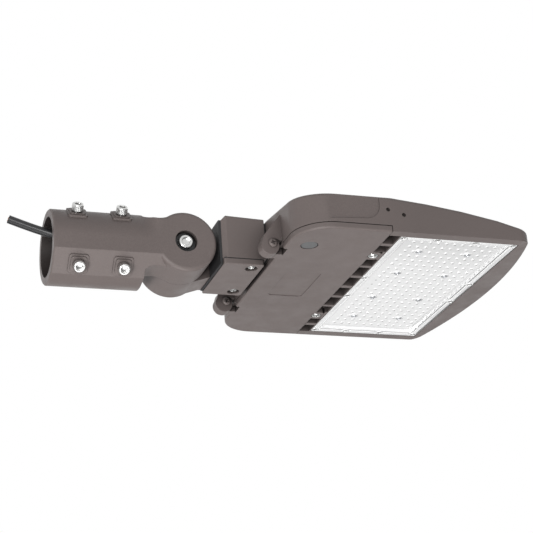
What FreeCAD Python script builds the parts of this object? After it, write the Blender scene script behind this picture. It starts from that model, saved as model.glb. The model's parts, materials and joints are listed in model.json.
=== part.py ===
"""Shoebox area light on a slip fitter. Millimetres.

Origin: centre of the fitter's socket mouth. +X runs along the socket to the head, +Z is up.
"""
import math
import os

import FreeCAD, Part
from FreeCAD import Rotation, Vector

# ---------------------------------------------------------------- driving sizes
# slip fitter, made for a 60.3 mm tenon
tenon_diameter = 60.3
tenon_play = 0.85
fitter_wall = 8.0
socket_depth = 82.0
fitter_length = 95.0
facet_angles = [90.0, 45.0, 11.0]
web_half_height = 25.0
web_blend_length = 21.0

# knuckle, which turns about a bolt along Y
pivot_x = 136.0
disc_radius = 32.5
disc_rim_round = 3.8
half_gap = 0.15
tooth_count = 36
tooth_height = 1.0
tooth_inner_radius = 20.0
tooth_outer_radius = 28.2
ring_centre_radius = 30.6
ring_wire_radius = 0.8
chamber_radius = 17.0
chamber_depth = 28.0
bolt_boss_radius = 9.5
bolt_radius = 4.75
bolt_head_radius = 7.4
bolt_head_height = 5.5
bolt_play = 0.25
thread_play = 0.06
washer_radius = 11.0
washer_thickness = 1.6
face_recess_radius = 11.6
face_recess_depth = 8.0
nut_across_flats = 15.0
nut_height = 8.0
nut_pocket_play = 0.15
nut_inset = 2.0

# set screws that grip the tenon
set_screw_first_x = 26.0
set_screw_pitch = 45.5
set_screw_rows = [45.0, 135.0]
set_screw_radius = 4.0
set_screw_head_radius = 6.0
set_screw_head_height = 7.2
set_screw_head_gap = 0.8
set_screw_tip_gap = 0.2
set_screw_boss = 20.0
set_screw_boss_step = 4.0
set_screw_boss_rise = 1.15
set_screw_boss_round = 3.0

# cable and leads
cable_radius = 4.3
lead_radius = 1.2
lead_pitch = 2.85
cable_passage_y = -14.0
grommet_wall = 4.0
grommet_flange = 3.0
grommet_flange_thickness = 2.0
grommet_depth = 5.0
passage_radius = 8.8
crossing_angle = 98.0
crossing_step = 15.0
wire_y = 18.0
wire_hole_radius = 6.0
wire_out_z = 4.0
led_lead_radius = 0.9
led_lead_pitch = 2.1
led_lead_x = 303.5
lead_hole_y = -78.6
lead_hole_z = -11.6
lead_hole_radius = 2.4

# arm and neck box
neck_half_width = 42.0
neck_top = 31.0
neck_top_fall = 1.8
neck_bottom = -16.4
neck_wall = 4.0
neck_start_x = 174.0
neck_end_x = 219.4
neck_rim_chamfer = 4.6
arm_gasket_thickness = 2.6
arm_flange_thickness = 5.0
arm_half_height = 21.5
arm_inner_y = 1.0
arm_bolt_places = [(9.5, 15.0), (9.5, -11.2), (30.0, 15.0), (30.0, -11.2)]
arm_bolt_radius = 2.5
inner_bolt_head = 4.2
inner_bolt_head_height = 3.6
bolt_hole_play = 0.3
neck_cover_depth = 7.0
neck_cover_end_x = 217.0
neck_gasket_thickness = 1.8
neck_screw_x = 206.0
neck_screw_y = 31.5
neck_screw_counterbore = 6.5
neck_screw_head = 4.3
neck_screw_shank = 1.75
neck_screw_recess = 3.4
neck_screw_head_height = 2.6
neck_screw_grip = 10.0
neck_screw_post = 4.5
neck_bolt_places = [(30.0, 14.0), (-30.0, 14.0), (30.0, -6.0), (-30.0, -6.0)]
cover_gasket_sheet = 1.0

# head housing
housing_rear_x = 221.5
housing_half_width = 146.0
housing_corner = 38.0
nose_x = 491.0
nose_curve = 456.0
nose_corner = 14.0
top_edge_round = 4.1
housing_wall = 3.5
rim_z = -23.4
seam_z = -17.0
nose_bevel_degrees = 8.0
# x, height at the sides, height at the shoulders, height on the centre line
crown_profile = [
    (210.0, 13.7, 28.5, 31.0),
    (318.0, 13.9, 28.5, 31.0),
    (357.0, 10.2, 24.0, 26.0),
    (396.0, 5.4, 16.0, 17.5),
    (435.0, -1.5, 6.5, 7.5),
    (462.0, -8.5, -2.0, -1.5),
    (500.0, -17.0, -14.0, -14.0),
]
shoulder_y = 42.0
side_step_x = 305.0
side_step_z = -11.0
side_step_depth = 1.0
side_step_round = 15.0
sealing_flange = 9.5
sealing_flange_depth = 4.0
shield_holes = [(313.7, 0.0), (330.4, -4.5)]
shield_hole_radius = 2.1
shield_hole_depth = 3.0
rear_pad = 8.0

# driver compartment and its cover
compartment_end_x = 312.4
cover_end_x = 316.0
cover_face_z = -24.0
cover_plate = 3.0
cover_round = 2.0
seam_gap = 0.8
cover_screw_x = 319.5
cover_screw_y = 85.0
cover_tab_reach = 6.5
cover_tab_half = 9.2
cover_screw_head = 5.0
cover_screw_head_height = 2.6
cover_screw_shank = 2.5
cover_screw_play = 0.35
cover_screw_grip = 4.8
cover_screw_recess = 1.4
label_box = [245.0, 283.0, -33.0, 33.0]
label_depth = 0.5
sensor_plug_x = 245.0
sensor_plug_from_side = 46.0
sensor_plug_radius = 8.2
sensor_plug_recess = 1.6
sensor_stem_radius = 5.7

# hinge of the cover
hinge_x = 211.5
hinge_z = -17.5
hinge_pin_radius = 3.0
hinge_play = 0.1
hinge_pin_end = 0.4
hinge_head_radius = 4.6
hinge_head_height = 3.0
lug_inner_y = 74.0
lug_width = 12.0
lug_round = 9.5
lug_centre = (209.0, -20.0)
knuckle_round = 6.5
knuckle_width = 10.5

# vents between the cover and the lens, as y ranges on one side
vent_x = [317.0, 329.0]
vent_ranges = [(3.0, 25.5), (31.0, 53.5), (58.0, 75.0), (95.5, 110.0), (115.6, 135.4)]

# light engine
lens_start_x = 330.5
lens_end_x = 460.2
lens_half_width = 134.2
lens_play = 0.4
lens_z = -23.3
lens_rim_width = 7.5
lens_rim_thickness = 3.8
lens_field_z = -18.5
lens_field_thickness = 1.3
lens_ledge = 5.5
lens_gasket_thickness = 1.3
board_pocket_z = -14.0
board_margin = 6.0
pad_thickness = 0.5
board_thickness = 1.6
chip_size = 3.0
chip_height = 0.7
chip_columns = 11
chip_rows = 21
chip_margin_start = 11.0
chip_margin_end = 9.7
chip_margin_side = 12.7
field_screw_x = [368.0, 423.0]
field_screw_y = [34.5, 92.0]
rim_screw_x = [334.3, 371.5, 413.5, 456.4]
rim_screw_y = 25.0
rim_screw_head = 2.9
rim_screw_shank = 1.4
rim_screw_grip = 4.0
rim_screw_recess = 1.5
field_screw_shank = 1.6
field_screw_head = 3.4
field_screw_grip = 3.2
base_top_z = -9.5
fin_thickness = 3.0
fin_ys = [0.0, 14.2, 28.2, 42.2, 55.8, 66.5, 77.5, 92.0, 102.5, 112.8, 125.0, 136.5]
fin_end_x = 452.0

# electrical parts, as x0, x1, y0, y1, z0, z1
driver_box = [236.0, 296.0, -12.0, 116.0, -13.0, 10.0]
driver_ear = 10.0
driver_ear_half = 8.0
ear_thickness = 2.5
surge_box = [264.0, 300.0, -84.0, -34.0, -10.0, 12.0]
terminal_box = [240.0, 259.0, -74.0, -30.0, 2.0, 16.0]
terminal_entry_rise = 5.0
ground_place = (292.0, -108.0)
ground_seat_z = 8.0
mount_screw_radius = 2.0
mount_screw_head = 3.8
mount_screw_head_height = 2.4
mount_screw_grip = 4.0
terminal_screw_radius = 1.5
seat_gap = 0.02

# derived sizes
sensor_plug_y = -housing_half_width + sensor_plug_from_side
root_half = math.sqrt(0.5)
socket_radius = tenon_diameter / 2 + tenon_play
fitter_radius = socket_radius + fitter_wall
grommet_radius = cable_radius + grommet_wall
grommet_seat_x = socket_depth + grommet_depth
bolt_seat_y = -fitter_radius + face_recess_depth - washer_thickness
nut_outer_y = fitter_radius - nut_inset
flange_end_x = neck_start_x - arm_gasket_thickness
flange_start_x = flange_end_x - arm_flange_thickness
arm_outer_y = neck_half_width - neck_rim_chamfer
bolt_hole_radius = arm_bolt_radius + bolt_hole_play
neck_cover_top = neck_bottom - cover_gasket_sheet
neck_cover_bottom = neck_bottom - neck_cover_depth
tray_x0 = lens_start_x - lens_play
tray_x1 = lens_end_x + lens_play
tray_y = lens_half_width + lens_play
ledge_z = lens_z + lens_rim_thickness + lens_gasket_thickness
pocket_x0 = lens_start_x + lens_ledge
pocket_x1 = lens_end_x - lens_ledge
pocket_y = lens_half_width - lens_ledge
board_x0 = pocket_x0 + board_margin
board_x1 = pocket_x1 - 1.0
board_y = pocket_y - 1.0
board_top_z = board_pocket_z - pad_thickness
chip_first_x = board_x0 + chip_margin_start
chip_pitch_x = (board_x1 - chip_margin_end - chip_first_x) / (chip_columns - 1)
chip_pitch_y = 2 * (board_y - chip_margin_side) / (chip_rows - 1)
board_face_z = board_top_z - board_thickness


# ---------------------------------------------------------------- small tools
def box(x0, x1, y0, y1, z0, z1):
    """Box between two corners."""
    return Part.makeBox(x1 - x0, y1 - y0, z1 - z0, Vector(x0, y0, z0))


def rod(radius, start, end):
    """Cylinder between two points."""
    a = Vector(*start)
    run = Vector(*end) - a
    return Part.makeCylinder(radius, run.Length, a, run)


def ring(outer, inner, start, end):
    """Tube between two points."""
    return rod(outer, start, end).cut(rod(inner, start, end))


def prism(points, direction):
    """Flat polygon pushed along a direction."""
    corners = [Vector(*p) for p in points]
    face = Part.Face(Part.makePolygon(corners + [corners[0]]))
    return face.extrude(Vector(*direction))


def slab_xz(points, y0, y1):
    """Polygon in X and Z, pushed from y0 to y1."""
    return prism([(x, y0, z) for x, z in points], (0, y1 - y0, 0))


def fuse(shapes):
    """One solid from several that overlap."""
    joined = shapes[0].multiFuse(shapes[1:])
    return joined.removeSplitter()


def place(shape, point, direction):
    """Turn +Z to a direction and move the origin to a point."""
    moved = shape.copy()
    turn = Rotation(Vector(0, 0, 1), Vector(*direction))
    moved.Placement = FreeCAD.Placement(Vector(*point), turn)
    return moved


def hex_prism(across_flats, height):
    """Hexagon about Z, from z = 0 up."""
    radius = across_flats / math.sqrt(3)
    corners = [
        (radius * math.cos(math.radians(60 * k)), radius * math.sin(math.radians(60 * k)), 0)
        for k in range(6)
    ]
    return prism(corners, (0, 0, height))


def socket_screw(head_radius, head_height, shank_radius, shank_length, key):
    """Socket-head screw: seat of the head at z = 0, head above, shank below."""
    head = rod(head_radius, (0, 0, 0), (0, 0, head_height))
    rims = [e for e in head.Edges if e.BoundBox.ZMin > head_height - 0.01 and e.Length > head_radius * 6]
    head = head.makeFillet(min(0.8, head_radius * 0.15), rims)
    recess = hex_prism(key, head_height).translated(Vector(0, 0, head_height * 0.45))
    shank = rod(shank_radius, (0, 0, -shank_length), (0, 0, 0.1))
    return head.cut(recess).fuse(shank).removeSplitter()


def pan_screw(head_radius, head_height, shank_radius, shank_length):
    """Pan-head screw with a cross recess: seat at z = 0, head above, shank below."""
    head = Part.makeCone(head_radius, head_radius * 0.72, head_height)
    bar = head_radius * 1.1
    half = head_radius * 0.13
    depth = head_height * 0.5
    cross = box(-bar / 2, bar / 2, -half, half, depth, head_height + 1)
    cross = cross.fuse(box(-half, half, -bar / 2, bar / 2, depth, head_height + 1))
    shank = rod(shank_radius, (0, 0, -shank_length), (0, 0, 0.1))
    return head.cut(cross).fuse(shank).removeSplitter()


def tube_along(points, radius):
    """Round tube on straight runs joined by tangent arcs, and its length and arc radii."""
    route = [Vector(*p) for p in points]
    edges = []
    radii = []
    last = route[0]
    for before, corner, after in zip(route, route[1:], route[2:]):
        way_in = (corner - before).normalize()
        way_out = (after - corner).normalize()
        half_turn = way_in.getAngle(way_out) / 2
        shorter = min((corner - before).Length, (after - corner).Length)
        arc_radius = 0.45 * shorter / math.tan(half_turn)
        reach = arc_radius * math.tan(half_turn)
        start = corner - way_in * reach
        end = corner + way_out * reach
        inward = (way_out - way_in).normalize()
        centre = corner + inward * (arc_radius / math.cos(half_turn))
        middle = centre - inward * arc_radius
        edges.append(Part.makeLine(last, start))
        edges.append(Part.Arc(start, middle, end).toShape())
        radii.append(arc_radius)
        last = end
    edges.append(Part.makeLine(last, route[-1]))
    spine = Part.Wire(edges)
    section = Part.Wire(Part.makeCircle(radius, route[0], route[1] - route[0]))
    tube = spine.makePipeShell([section], True, True)
    return tube, spine.Length, radii


def save(name, shapes):
    """Write one node, a single solid or a group of separate ones."""
    solids = []
    for shape in shapes if isinstance(shapes, list) else [shapes]:
        solids += shape.Solids
    whole = solids[0] if len(solids) == 1 else Part.makeCompound(solids)
    valid = all(s.isValid() and s.Volume > 0 for s in solids)
    volume = sum(s.Volume for s in solids)
    whole.exportStep("parts/" + name + ".step")
    print(f"{name}: {len(solids)} solid(s), {volume / 1000:.2f} cm3, valid {valid}")
    return whole


# ---------------------------------------------------------------- slip fitter
face_y = fitter_radius


def fitter_profile(x0, x1):
    """Round tube with flat facets on its near and lower near sides."""
    solid = rod(fitter_radius, (x0, 0, 0), (x1, 0, 0))
    pieces = [solid]
    for first, second in zip(facet_angles, facet_angles[1:]):
        a = math.radians(first)
        b = math.radians(second)
        na = (-math.sin(a), -math.cos(a))
        nb = (-math.sin(b), -math.cos(b))
        scale = fitter_radius / (1 + na[0] * nb[0] + na[1] * nb[1])
        corner = ((na[0] + nb[0]) * scale, (na[1] + nb[1]) * scale)
        points = [
            (x0, 0, 0),
            (x0, na[0] * fitter_radius, na[1] * fitter_radius),
            (x0, corner[0], corner[1]),
            (x0, nb[0] * fitter_radius, nb[1] * fitter_radius),
        ]
        pieces.append(prism(points, (x1 - x0, 0, 0)))
    return fuse(pieces)


def web_outline(side):
    """Side view of the web between tube and disc: +1 far half, -1 near half."""
    y = -face_y if side < 0 else half_gap
    top = web_half_height
    touch_x = pivot_x - 12.0
    touch_z = math.sqrt(disc_radius ** 2 - 12.0 ** 2)
    start_x = fitter_length - 6.0
    low_x = fitter_length + 11.5

    def edges(sign):
        tube = Vector(start_x, y, sign * (fitter_radius - 3.0))
        bend = Vector(start_x + 7.6, y, sign * (top + 2.6))
        low = Vector(low_x, y, sign * top)
        swell = Vector((low_x + touch_x) / 2 + 1.0, y, sign * (top + 1.2))
        touch = Vector(touch_x, y, sign * touch_z)
        first = Part.Arc(tube, bend, low).toShape()
        second = Part.Arc(low, swell, touch).toShape()
        return tube, touch, [first, second]

    upper_tube, upper_touch, upper = edges(1)
    lower_tube, lower_touch, lower = edges(-1)
    front = [
        Part.makeLine(upper_touch, Vector(pivot_x, y, touch_z * 0.8)),
        Part.makeLine(Vector(pivot_x, y, touch_z * 0.8), Vector(pivot_x, y, -touch_z * 0.8)),
        Part.makeLine(Vector(pivot_x, y, -touch_z * 0.8), lower_touch),
    ]
    back = [Part.makeLine(upper_tube, lower_tube)]
    wire = Part.Wire(Part.__sortEdges__(upper + lower + front + back))
    return Part.Face(wire)


def web_side_form():
    """Near side of the web: the tube's round upper part turns into the disc's flat face."""
    radius = fitter_radius
    start = fitter_length - 6.0
    facets = [math.radians(a) for a in facet_angles]
    below = [Vector(0, 1, -radius)]
    below.append(Vector(0, -radius * math.sin(facets[2]), -radius * math.cos(facets[2])))
    for a, b in ((facets[2], facets[1]), (facets[1], facets[0])):
        scale = radius / (1 + math.cos(a - b))
        below.append(Vector(0, -scale * (math.sin(a) + math.sin(b)), -scale * (math.cos(a) + math.cos(b))))
    below.append(Vector(0, -radius, 0))
    sections = []
    steps = 6
    for k in range(steps + 1):
        share = k / steps
        blend = share * share * (3 - 2 * share)
        above = []
        for n in range(1, 10):
            turn = math.radians(10.0 * n)
            on_round = Vector(0, -radius * math.cos(turn), radius * math.sin(turn))
            on_flat = Vector(0, -radius, radius * n / 8.0)
            above.append(on_round + (on_flat - on_round) * blend)
        top = above[-1].z + 1.0
        points = below + above + [Vector(0, 1, top)]
        offset = Vector(start + web_blend_length * share, 0, 0)
        sections.append(Part.makePolygon([p + offset for p in points + [points[0]]]))
    beyond = Vector(pivot_x - start - web_blend_length, 0, 0)
    flat = Part.Face(sections[-1]).extrude(beyond)
    return fuse([Part.makeLoft(sections, True, True), flat])


def disc(side):
    """One half of the knuckle, with its outer rim rounded."""
    inner = side * half_gap
    outer = side * face_y
    solid = rod(disc_radius, (pivot_x, inner, 0), (pivot_x, outer, 0))
    rims = [e for e in solid.Edges if abs(e.BoundBox.Center.y - outer) < 0.01]
    return solid.makeFillet(disc_rim_round, rims)


def serration(side):
    """Ring of radial ridges whose tips stop just short of the knuckle's middle plane."""
    base_y = side * (half_gap + tooth_height)
    tip_y = side * half_gap
    half_width = math.pi * tooth_inner_radius / tooth_count * 0.85
    ridges = []
    for k in range(tooth_count):
        ridge = prism(
            [
                (tooth_inner_radius - 0.5, base_y + side * 0.2, -half_width),
                (tooth_inner_radius - 0.5, base_y + side * 0.2, half_width),
                (tooth_inner_radius - 0.5, tip_y, 0),
            ],
            (tooth_outer_radius - tooth_inner_radius + 1.0, 0, 0),
        )
        turn = 360.0 / tooth_count * (k + (0.5 if side > 0 else 0.0))
        ridge.rotate(Vector(0, 0, 0), Vector(0, 1, 0), turn)
        ridges.append(ridge.translated(Vector(pivot_x, 0, 0)))
    return ridges


def knuckle_cuts(side):
    """Hollows that both knuckle halves share: tooth trough, wire chamber and bolt hole."""
    trough = ring(
        tooth_outer_radius,
        tooth_inner_radius,
        (pivot_x, 0, 0),
        (pivot_x, side * (half_gap + tooth_height), 0),
    )
    chamber = ring(chamber_radius, bolt_boss_radius, (pivot_x, 0, 0), (pivot_x, side * chamber_depth, 0))
    hole = rod(bolt_radius + bolt_play, (pivot_x, 0, 0), (pivot_x, side * (face_y + 1), 0))
    return [trough, chamber, hole]


def row_direction(angle):
    """Outward direction of a row of set screws, measured from straight down to the near side."""
    a = math.radians(angle)
    return Vector(0, -math.sin(a), -math.cos(a))


def set_screw_places():
    """Every set screw's x and outward direction."""
    return [
        (set_screw_first_x + k * set_screw_pitch, row_direction(angle))
        for angle in set_screw_rows
        for k in range(2)
    ]


def set_screw_boss_solid(x, outward):
    """Two square steps round a set screw, with rounded corners."""
    steps = []
    for k in range(2):
        side = set_screw_boss - k * set_screw_boss_step
        top = fitter_radius + (k + 1) * set_screw_boss_rise
        step = Part.makeBox(side, side, top - socket_radius - 1, Vector(-side / 2, -side / 2, 0))
        corners = [e for e in step.Edges if abs(e.tangentAt(e.FirstParameter).z) > 0.9]
        step = step.makeFillet(set_screw_boss_round, corners)
        base = Vector(x, 0, 0) + outward * (socket_radius + 1)
        step.Placement = FreeCAD.Placement(base, boss_frame(outward))
        steps.append(step)
    return steps


def boss_frame(outward):
    """Rotation that keeps a boss's sides along the tube and turns its top outward."""
    across = outward.cross(Vector(1, 0, 0))
    return Rotation(Vector(1, 0, 0), across, outward, "ZXY")


def make_clamp_body():
    tube = fitter_profile(0, fitter_length)
    mouth_edges = [e for e in tube.Edges if e.BoundBox.XMax < 0.01]
    tube = tube.makeChamfer(1.2, mouth_edges)
    web = web_outline(-1).extrude(Vector(0, face_y - half_gap, 0))
    over = [e for e in web.Edges if e.BoundBox.YMax < 0.01 - face_y and e.BoundBox.ZMin > 0.1 * disc_radius]
    over = [e for e in over if e.BoundBox.XMax < pivot_x - 0.1 and e.BoundBox.XLength > 0.1]
    web = web.makeFillet(disc_rim_round, over)
    web = web.common(web_side_form())
    bosses = []
    for x, outward in set_screw_places():
        bosses += set_screw_boss_solid(x, outward)
    body = fuse([tube, web, disc(-1)] + bosses)
    cuts = [rod(socket_radius, (-1, 0, 0), (socket_depth, 0, 0))]
    cuts += knuckle_cuts(-1)
    y = cable_passage_y
    open_x = (grommet_seat_x + pivot_x - chamber_radius) / 2
    cuts.append(rod(grommet_radius, (socket_depth - 1, y, 0), (grommet_seat_x, y, 0)))
    cuts.append(rod(cable_radius + 1, (grommet_seat_x - 1, y, 0), (open_x, y, 0)))
    cuts.append(rod(passage_radius, (open_x - 1, y, 0), (pivot_x - chamber_radius + 3, y, 0)))
    recess_y = bolt_seat_y + washer_thickness
    cuts.append(rod(face_recess_radius, (pivot_x, -face_y - 1, 0), (pivot_x, recess_y, 0)))
    groove = ring(
        ring_centre_radius + ring_wire_radius + 0.1,
        ring_centre_radius - ring_wire_radius - 0.1,
        (pivot_x, 0, 0),
        (pivot_x, -half_gap - 2 * ring_wire_radius, 0),
    )
    cuts.append(groove)
    for x, outward in set_screw_places():
        near = Vector(x, 0, 0) + outward * (socket_radius - 3)
        far = Vector(x, 0, 0) + outward * (fitter_radius + 6)
        cuts.append(rod(set_screw_radius + thread_play, tuple(near), tuple(far)))
    body = body.cut(cuts)
    return fuse([body] + [r.common(body_hollow(-1)) for r in serration(-1)])


def body_hollow(side):
    """Space of the tooth trough, which trims the ridges to it."""
    return ring(
        tooth_outer_radius + 0.05,
        tooth_inner_radius - 0.05,
        (pivot_x, side * half_gap, 0),
        (pivot_x, side * (half_gap + tooth_height + 0.3), 0),
    )


def make_clamp_screws():
    screws = []
    seat = fitter_radius + 2 * set_screw_boss_rise + set_screw_head_gap
    tip = socket_radius + set_screw_tip_gap
    for x, outward in set_screw_places():
        key = set_screw_radius * 1.6
        screw = socket_screw(set_screw_head_radius, set_screw_head_height, set_screw_radius, seat - tip, key)
        point = Vector(x, 0, 0) + outward * seat
        screws.append(place(screw, tuple(point), tuple(outward)))
    return screws


def make_pivot_bolt():
    """Cap screw whose head lies in the near face and whose end reaches through the nut."""
    length = nut_outer_y - bolt_seat_y
    screw = socket_screw(bolt_head_radius, bolt_head_height, bolt_radius, length, bolt_head_radius * 1.05)
    return place(screw, (pivot_x, bolt_seat_y, 0), (0, -1, 0))


def make_pivot_washer():
    outer = bolt_seat_y + washer_thickness
    return ring(washer_radius, bolt_radius + bolt_play, (pivot_x, bolt_seat_y, 0), (pivot_x, outer, 0))


def make_pivot_nut():
    blank = hex_prism(nut_across_flats, nut_height)
    blank = place(blank, (pivot_x, nut_outer_y - nut_height, 0), (0, 1, 0))
    hole = rod(bolt_radius + thread_play, (pivot_x, 0, 0), (pivot_x, face_y + 1, 0))
    return blank.cut(hole)


def make_knuckle_ring():
    centre = Vector(pivot_x, -half_gap - ring_wire_radius, 0)
    return Part.makeTorus(ring_centre_radius, ring_wire_radius, centre, Vector(0, 1, 0))


def make_cable_grommet():
    y = cable_passage_y
    flange_start = socket_depth - grommet_flange_thickness
    flange = rod(grommet_radius + grommet_flange, (flange_start, y, 0), (socket_depth - seat_gap, y, 0))
    plug = rod(grommet_radius - 0.03, (socket_depth - 0.1, y, 0), (grommet_seat_x - 0.03, y, 0))
    hole = rod(cable_radius + 0.05, (socket_depth - 5, y, 0), (grommet_seat_x + 5, y, 0))
    return flange.fuse(plug).removeSplitter().cut(hole)


# centre line of the supply cable, from inside the knuckle out through the socket's mouth
cable_route = [
    (101.0, -14.0, 0.0),
    (72.0, -14.0, 0.0),
    (40.0, -8.0, 3.2),
    (10.0, -2.0, 12.6),
    (-16.0, 0.0, 20.4),
    (-38.5, 0.0, 28.2),
]


def make_supply_cable():
    tube, length, radii = tube_along(cable_route, cable_radius)
    ideal = math.pi * cable_radius ** 2 * length
    print(f"supply cable: length {length:.1f} mm, radii {[round(r) for r in radii]} mm, "
          f"volume ratio {tube.Volume / ideal:.4f}")
    return tube


def chamber_point(k, turn):
    """Point of lead k in the round chamber, turned on from where it crosses the middle plane."""
    middle = (chamber_radius + bolt_boss_radius) / 2
    angle = math.radians(crossing_angle + k * crossing_step + turn)
    return pivot_x + middle * math.cos(angle), middle * math.sin(angle)


def make_supply_leads():
    """Three leads from the cable's end round the chamber to the knuckle's middle plane."""
    leads = []
    start_x = cable_route[0][0] + 0.3
    for k in (-1, 0, 1):
        x, z = chamber_point(k, 0.0)
        x_in, z_in = chamber_point(k, 25.0)
        spread = lead_pitch * k
        route = [
            (start_x, cable_passage_y, spread),
            (start_x + 8, cable_passage_y, spread),
            (x_in, cable_passage_y + 1.0, z_in),
            (x, cable_passage_y + 8.0, z),
            (x, -half_gap, z),
        ]
        leads.append(tube_along(route, lead_radius)[0])
    return leads


# ---------------------------------------------------------------- arm and neck
def make_tilt_arm():
    """Far half of the knuckle with the neck and flange that carry the head."""
    half_disc = disc(1)
    neck_points = [
        (pivot_x + 4.0, -disc_radius + 0.3),
        (flange_end_x, -arm_half_height),
        (flange_end_x, arm_half_height),
        (pivot_x + 4.0, disc_radius - 0.3),
    ]
    neck = slab_xz(neck_points, arm_inner_y, arm_outer_y)
    long_edges = [e for e in neck.Edges if e.BoundBox.YMin > arm_outer_y - 0.01 and e.BoundBox.XLength > 5]
    neck = neck.makeFillet(disc_rim_round, long_edges)
    clear = rod(disc_radius + 1.0, (pivot_x, -face_y, 0), (pivot_x, 0, 0))
    top = arm_half_height + 4.0
    plate = box(flange_start_x, flange_end_x, arm_inner_y, arm_outer_y, -arm_half_height, top)
    body = fuse([half_disc, neck.cut(clear), plate])
    cuts = knuckle_cuts(1)
    cuts.append(rod(wire_hole_radius + 1.5, (pivot_x + 12, wire_y, 0), (neck_start_x, wire_y, 0)))
    pocket = hex_prism(nut_across_flats + 2 * nut_pocket_play, nut_height + 20)
    cuts.append(place(pocket, (pivot_x, nut_outer_y - nut_height - seat_gap, 0), (0, 1, 0)))
    for y, z in arm_bolt_places:
        cuts.append(rod(arm_bolt_radius + thread_play, (flange_start_x + 1.0, y, z), (neck_start_x, y, z)))
    body = body.cut(cuts)
    return fuse([body] + [r.common(body_hollow(1)) for r in serration(1)])


def make_arm_gasket():
    y = arm_outer_y
    top = neck_top - neck_rim_chamfer
    sheet = box(flange_end_x + seat_gap, neck_start_x - seat_gap, -y, y, -arm_half_height - 0.8, top)
    holes = [rod(wire_hole_radius, (flange_end_x - 1, wire_y, 0), (neck_start_x + 1, wire_y, 0))]
    for ay, az in arm_bolt_places:
        holes.append(rod(bolt_hole_radius, (flange_end_x - 1, ay, az), (neck_start_x + 1, ay, az)))
    return sheet.cut(holes)


def make_arm_bolts():
    """Four screws from inside the neck box into the arm's flange."""
    bolts = []
    for y, z in arm_bolt_places:
        reach = neck_wall + arm_gasket_thickness + arm_flange_thickness - 1.2
        bolt = socket_screw(inner_bolt_head, inner_bolt_head_height, arm_bolt_radius, reach, inner_bolt_head)
        bolts.append(place(bolt, (neck_start_x + neck_wall, y, z), (1, 0, 0)))
    return bolts


def neck_top_at(x):
    """Height of the neck box's sloping top."""
    share = (x - neck_start_x) / (neck_end_x - neck_start_x)
    return neck_top - neck_top_fall * share


def make_neck_box():
    """Wiring box between arm and housing, open below."""
    y = neck_half_width
    outline = [
        (neck_start_x, neck_bottom),
        (neck_end_x, neck_bottom),
        (neck_end_x, neck_top_at(neck_end_x)),
        (neck_start_x, neck_top),
    ]
    body = slab_xz(outline, -y, y)
    end_edges = [e for e in body.Edges if e.BoundBox.XMax < neck_start_x + 0.01]
    end_edges = [e for e in end_edges if e.BoundBox.ZMax > neck_bottom + 1]
    body = body.makeChamfer(neck_rim_chamfer, end_edges)
    long_top = [e for e in body.Edges if e.BoundBox.XLength > 30 and e.BoundBox.ZMin > 20]
    body = body.makeFillet(2.5, long_top)
    inner = slab_xz(
        [
            (neck_start_x + neck_wall, neck_bottom - 1),
            (neck_end_x - neck_wall, neck_bottom - 1),
            (neck_end_x - neck_wall, neck_top_at(neck_end_x) - neck_wall),
            (neck_start_x + neck_wall, neck_top - neck_wall),
        ],
        -y + neck_wall,
        y - neck_wall,
    )
    posts = []
    x0 = neck_screw_x - neck_screw_post
    x1 = neck_screw_x + neck_screw_post
    for s in (-1, 1):
        y0, y1 = sorted((s * (neck_screw_y - neck_screw_post), s * (y - 1)))
        posts.append(box(x0, x1, y0, y1, neck_bottom, neck_top))
    posts = [p.common(inner) for p in posts]
    front = (neck_start_x - 1, neck_start_x + neck_wall + 1)
    back = (neck_end_x - neck_wall - 1, neck_end_x + 1)
    wire_cut = rod(wire_hole_radius, (front[0], wire_y, 0), (front[1], wire_y, 0))
    out_cut = rod(wire_hole_radius, (back[0], 0, wire_out_z), (back[1], 0, wire_out_z))
    cuts = [wire_cut, out_cut]
    for ay, az in arm_bolt_places:
        cuts.append(rod(bolt_hole_radius, (front[0], ay, az), (front[1], ay, az)))
    for ny, nz in neck_bolt_places:
        cuts.append(rod(bolt_hole_radius, (back[0], ny, nz), (back[1], ny, nz)))
    body = fuse([body.cut(inner)] + posts).cut(cuts)
    for s in (-1, 1):
        at = (neck_screw_x, s * neck_screw_y)
        hole_end = neck_bottom + neck_screw_grip + 2
        body = body.cut(rod(neck_screw_shank + thread_play, (*at, neck_bottom - 1), (*at, hole_end)))
    return body


def make_neck_cover():
    """Plate that closes the neck box from below, with two counterbored screws."""
    y = neck_half_width
    plate = box(neck_start_x + 0.2, neck_cover_end_x, -y, y, neck_cover_bottom, neck_cover_top)
    upright = [e for e in plate.Edges if abs(e.tangentAt(e.FirstParameter).z) > 0.9]
    plate = plate.makeFillet(2.0, upright)
    low = [e for e in plate.Edges if e.BoundBox.ZMax < neck_cover_bottom + 0.01]
    plate = plate.makeFillet(0.8, low)
    floor = neck_cover_bottom + 2.5
    hollow = box(neck_start_x + 8, neck_screw_x - 9, -y + 8, y - 8, floor, neck_cover_top + 1)
    cuts = [hollow]
    for s in (-1, 1):
        at = (neck_screw_x, s * neck_screw_y)
        seat = neck_cover_bottom + neck_screw_recess
        cuts.append(rod(neck_screw_counterbore, (*at, neck_cover_bottom - 1), (*at, seat)))
        cuts.append(rod(neck_screw_shank + 0.25, (*at, neck_cover_bottom), (*at, neck_cover_top + 1)))
    return plate.cut(cuts)


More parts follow.
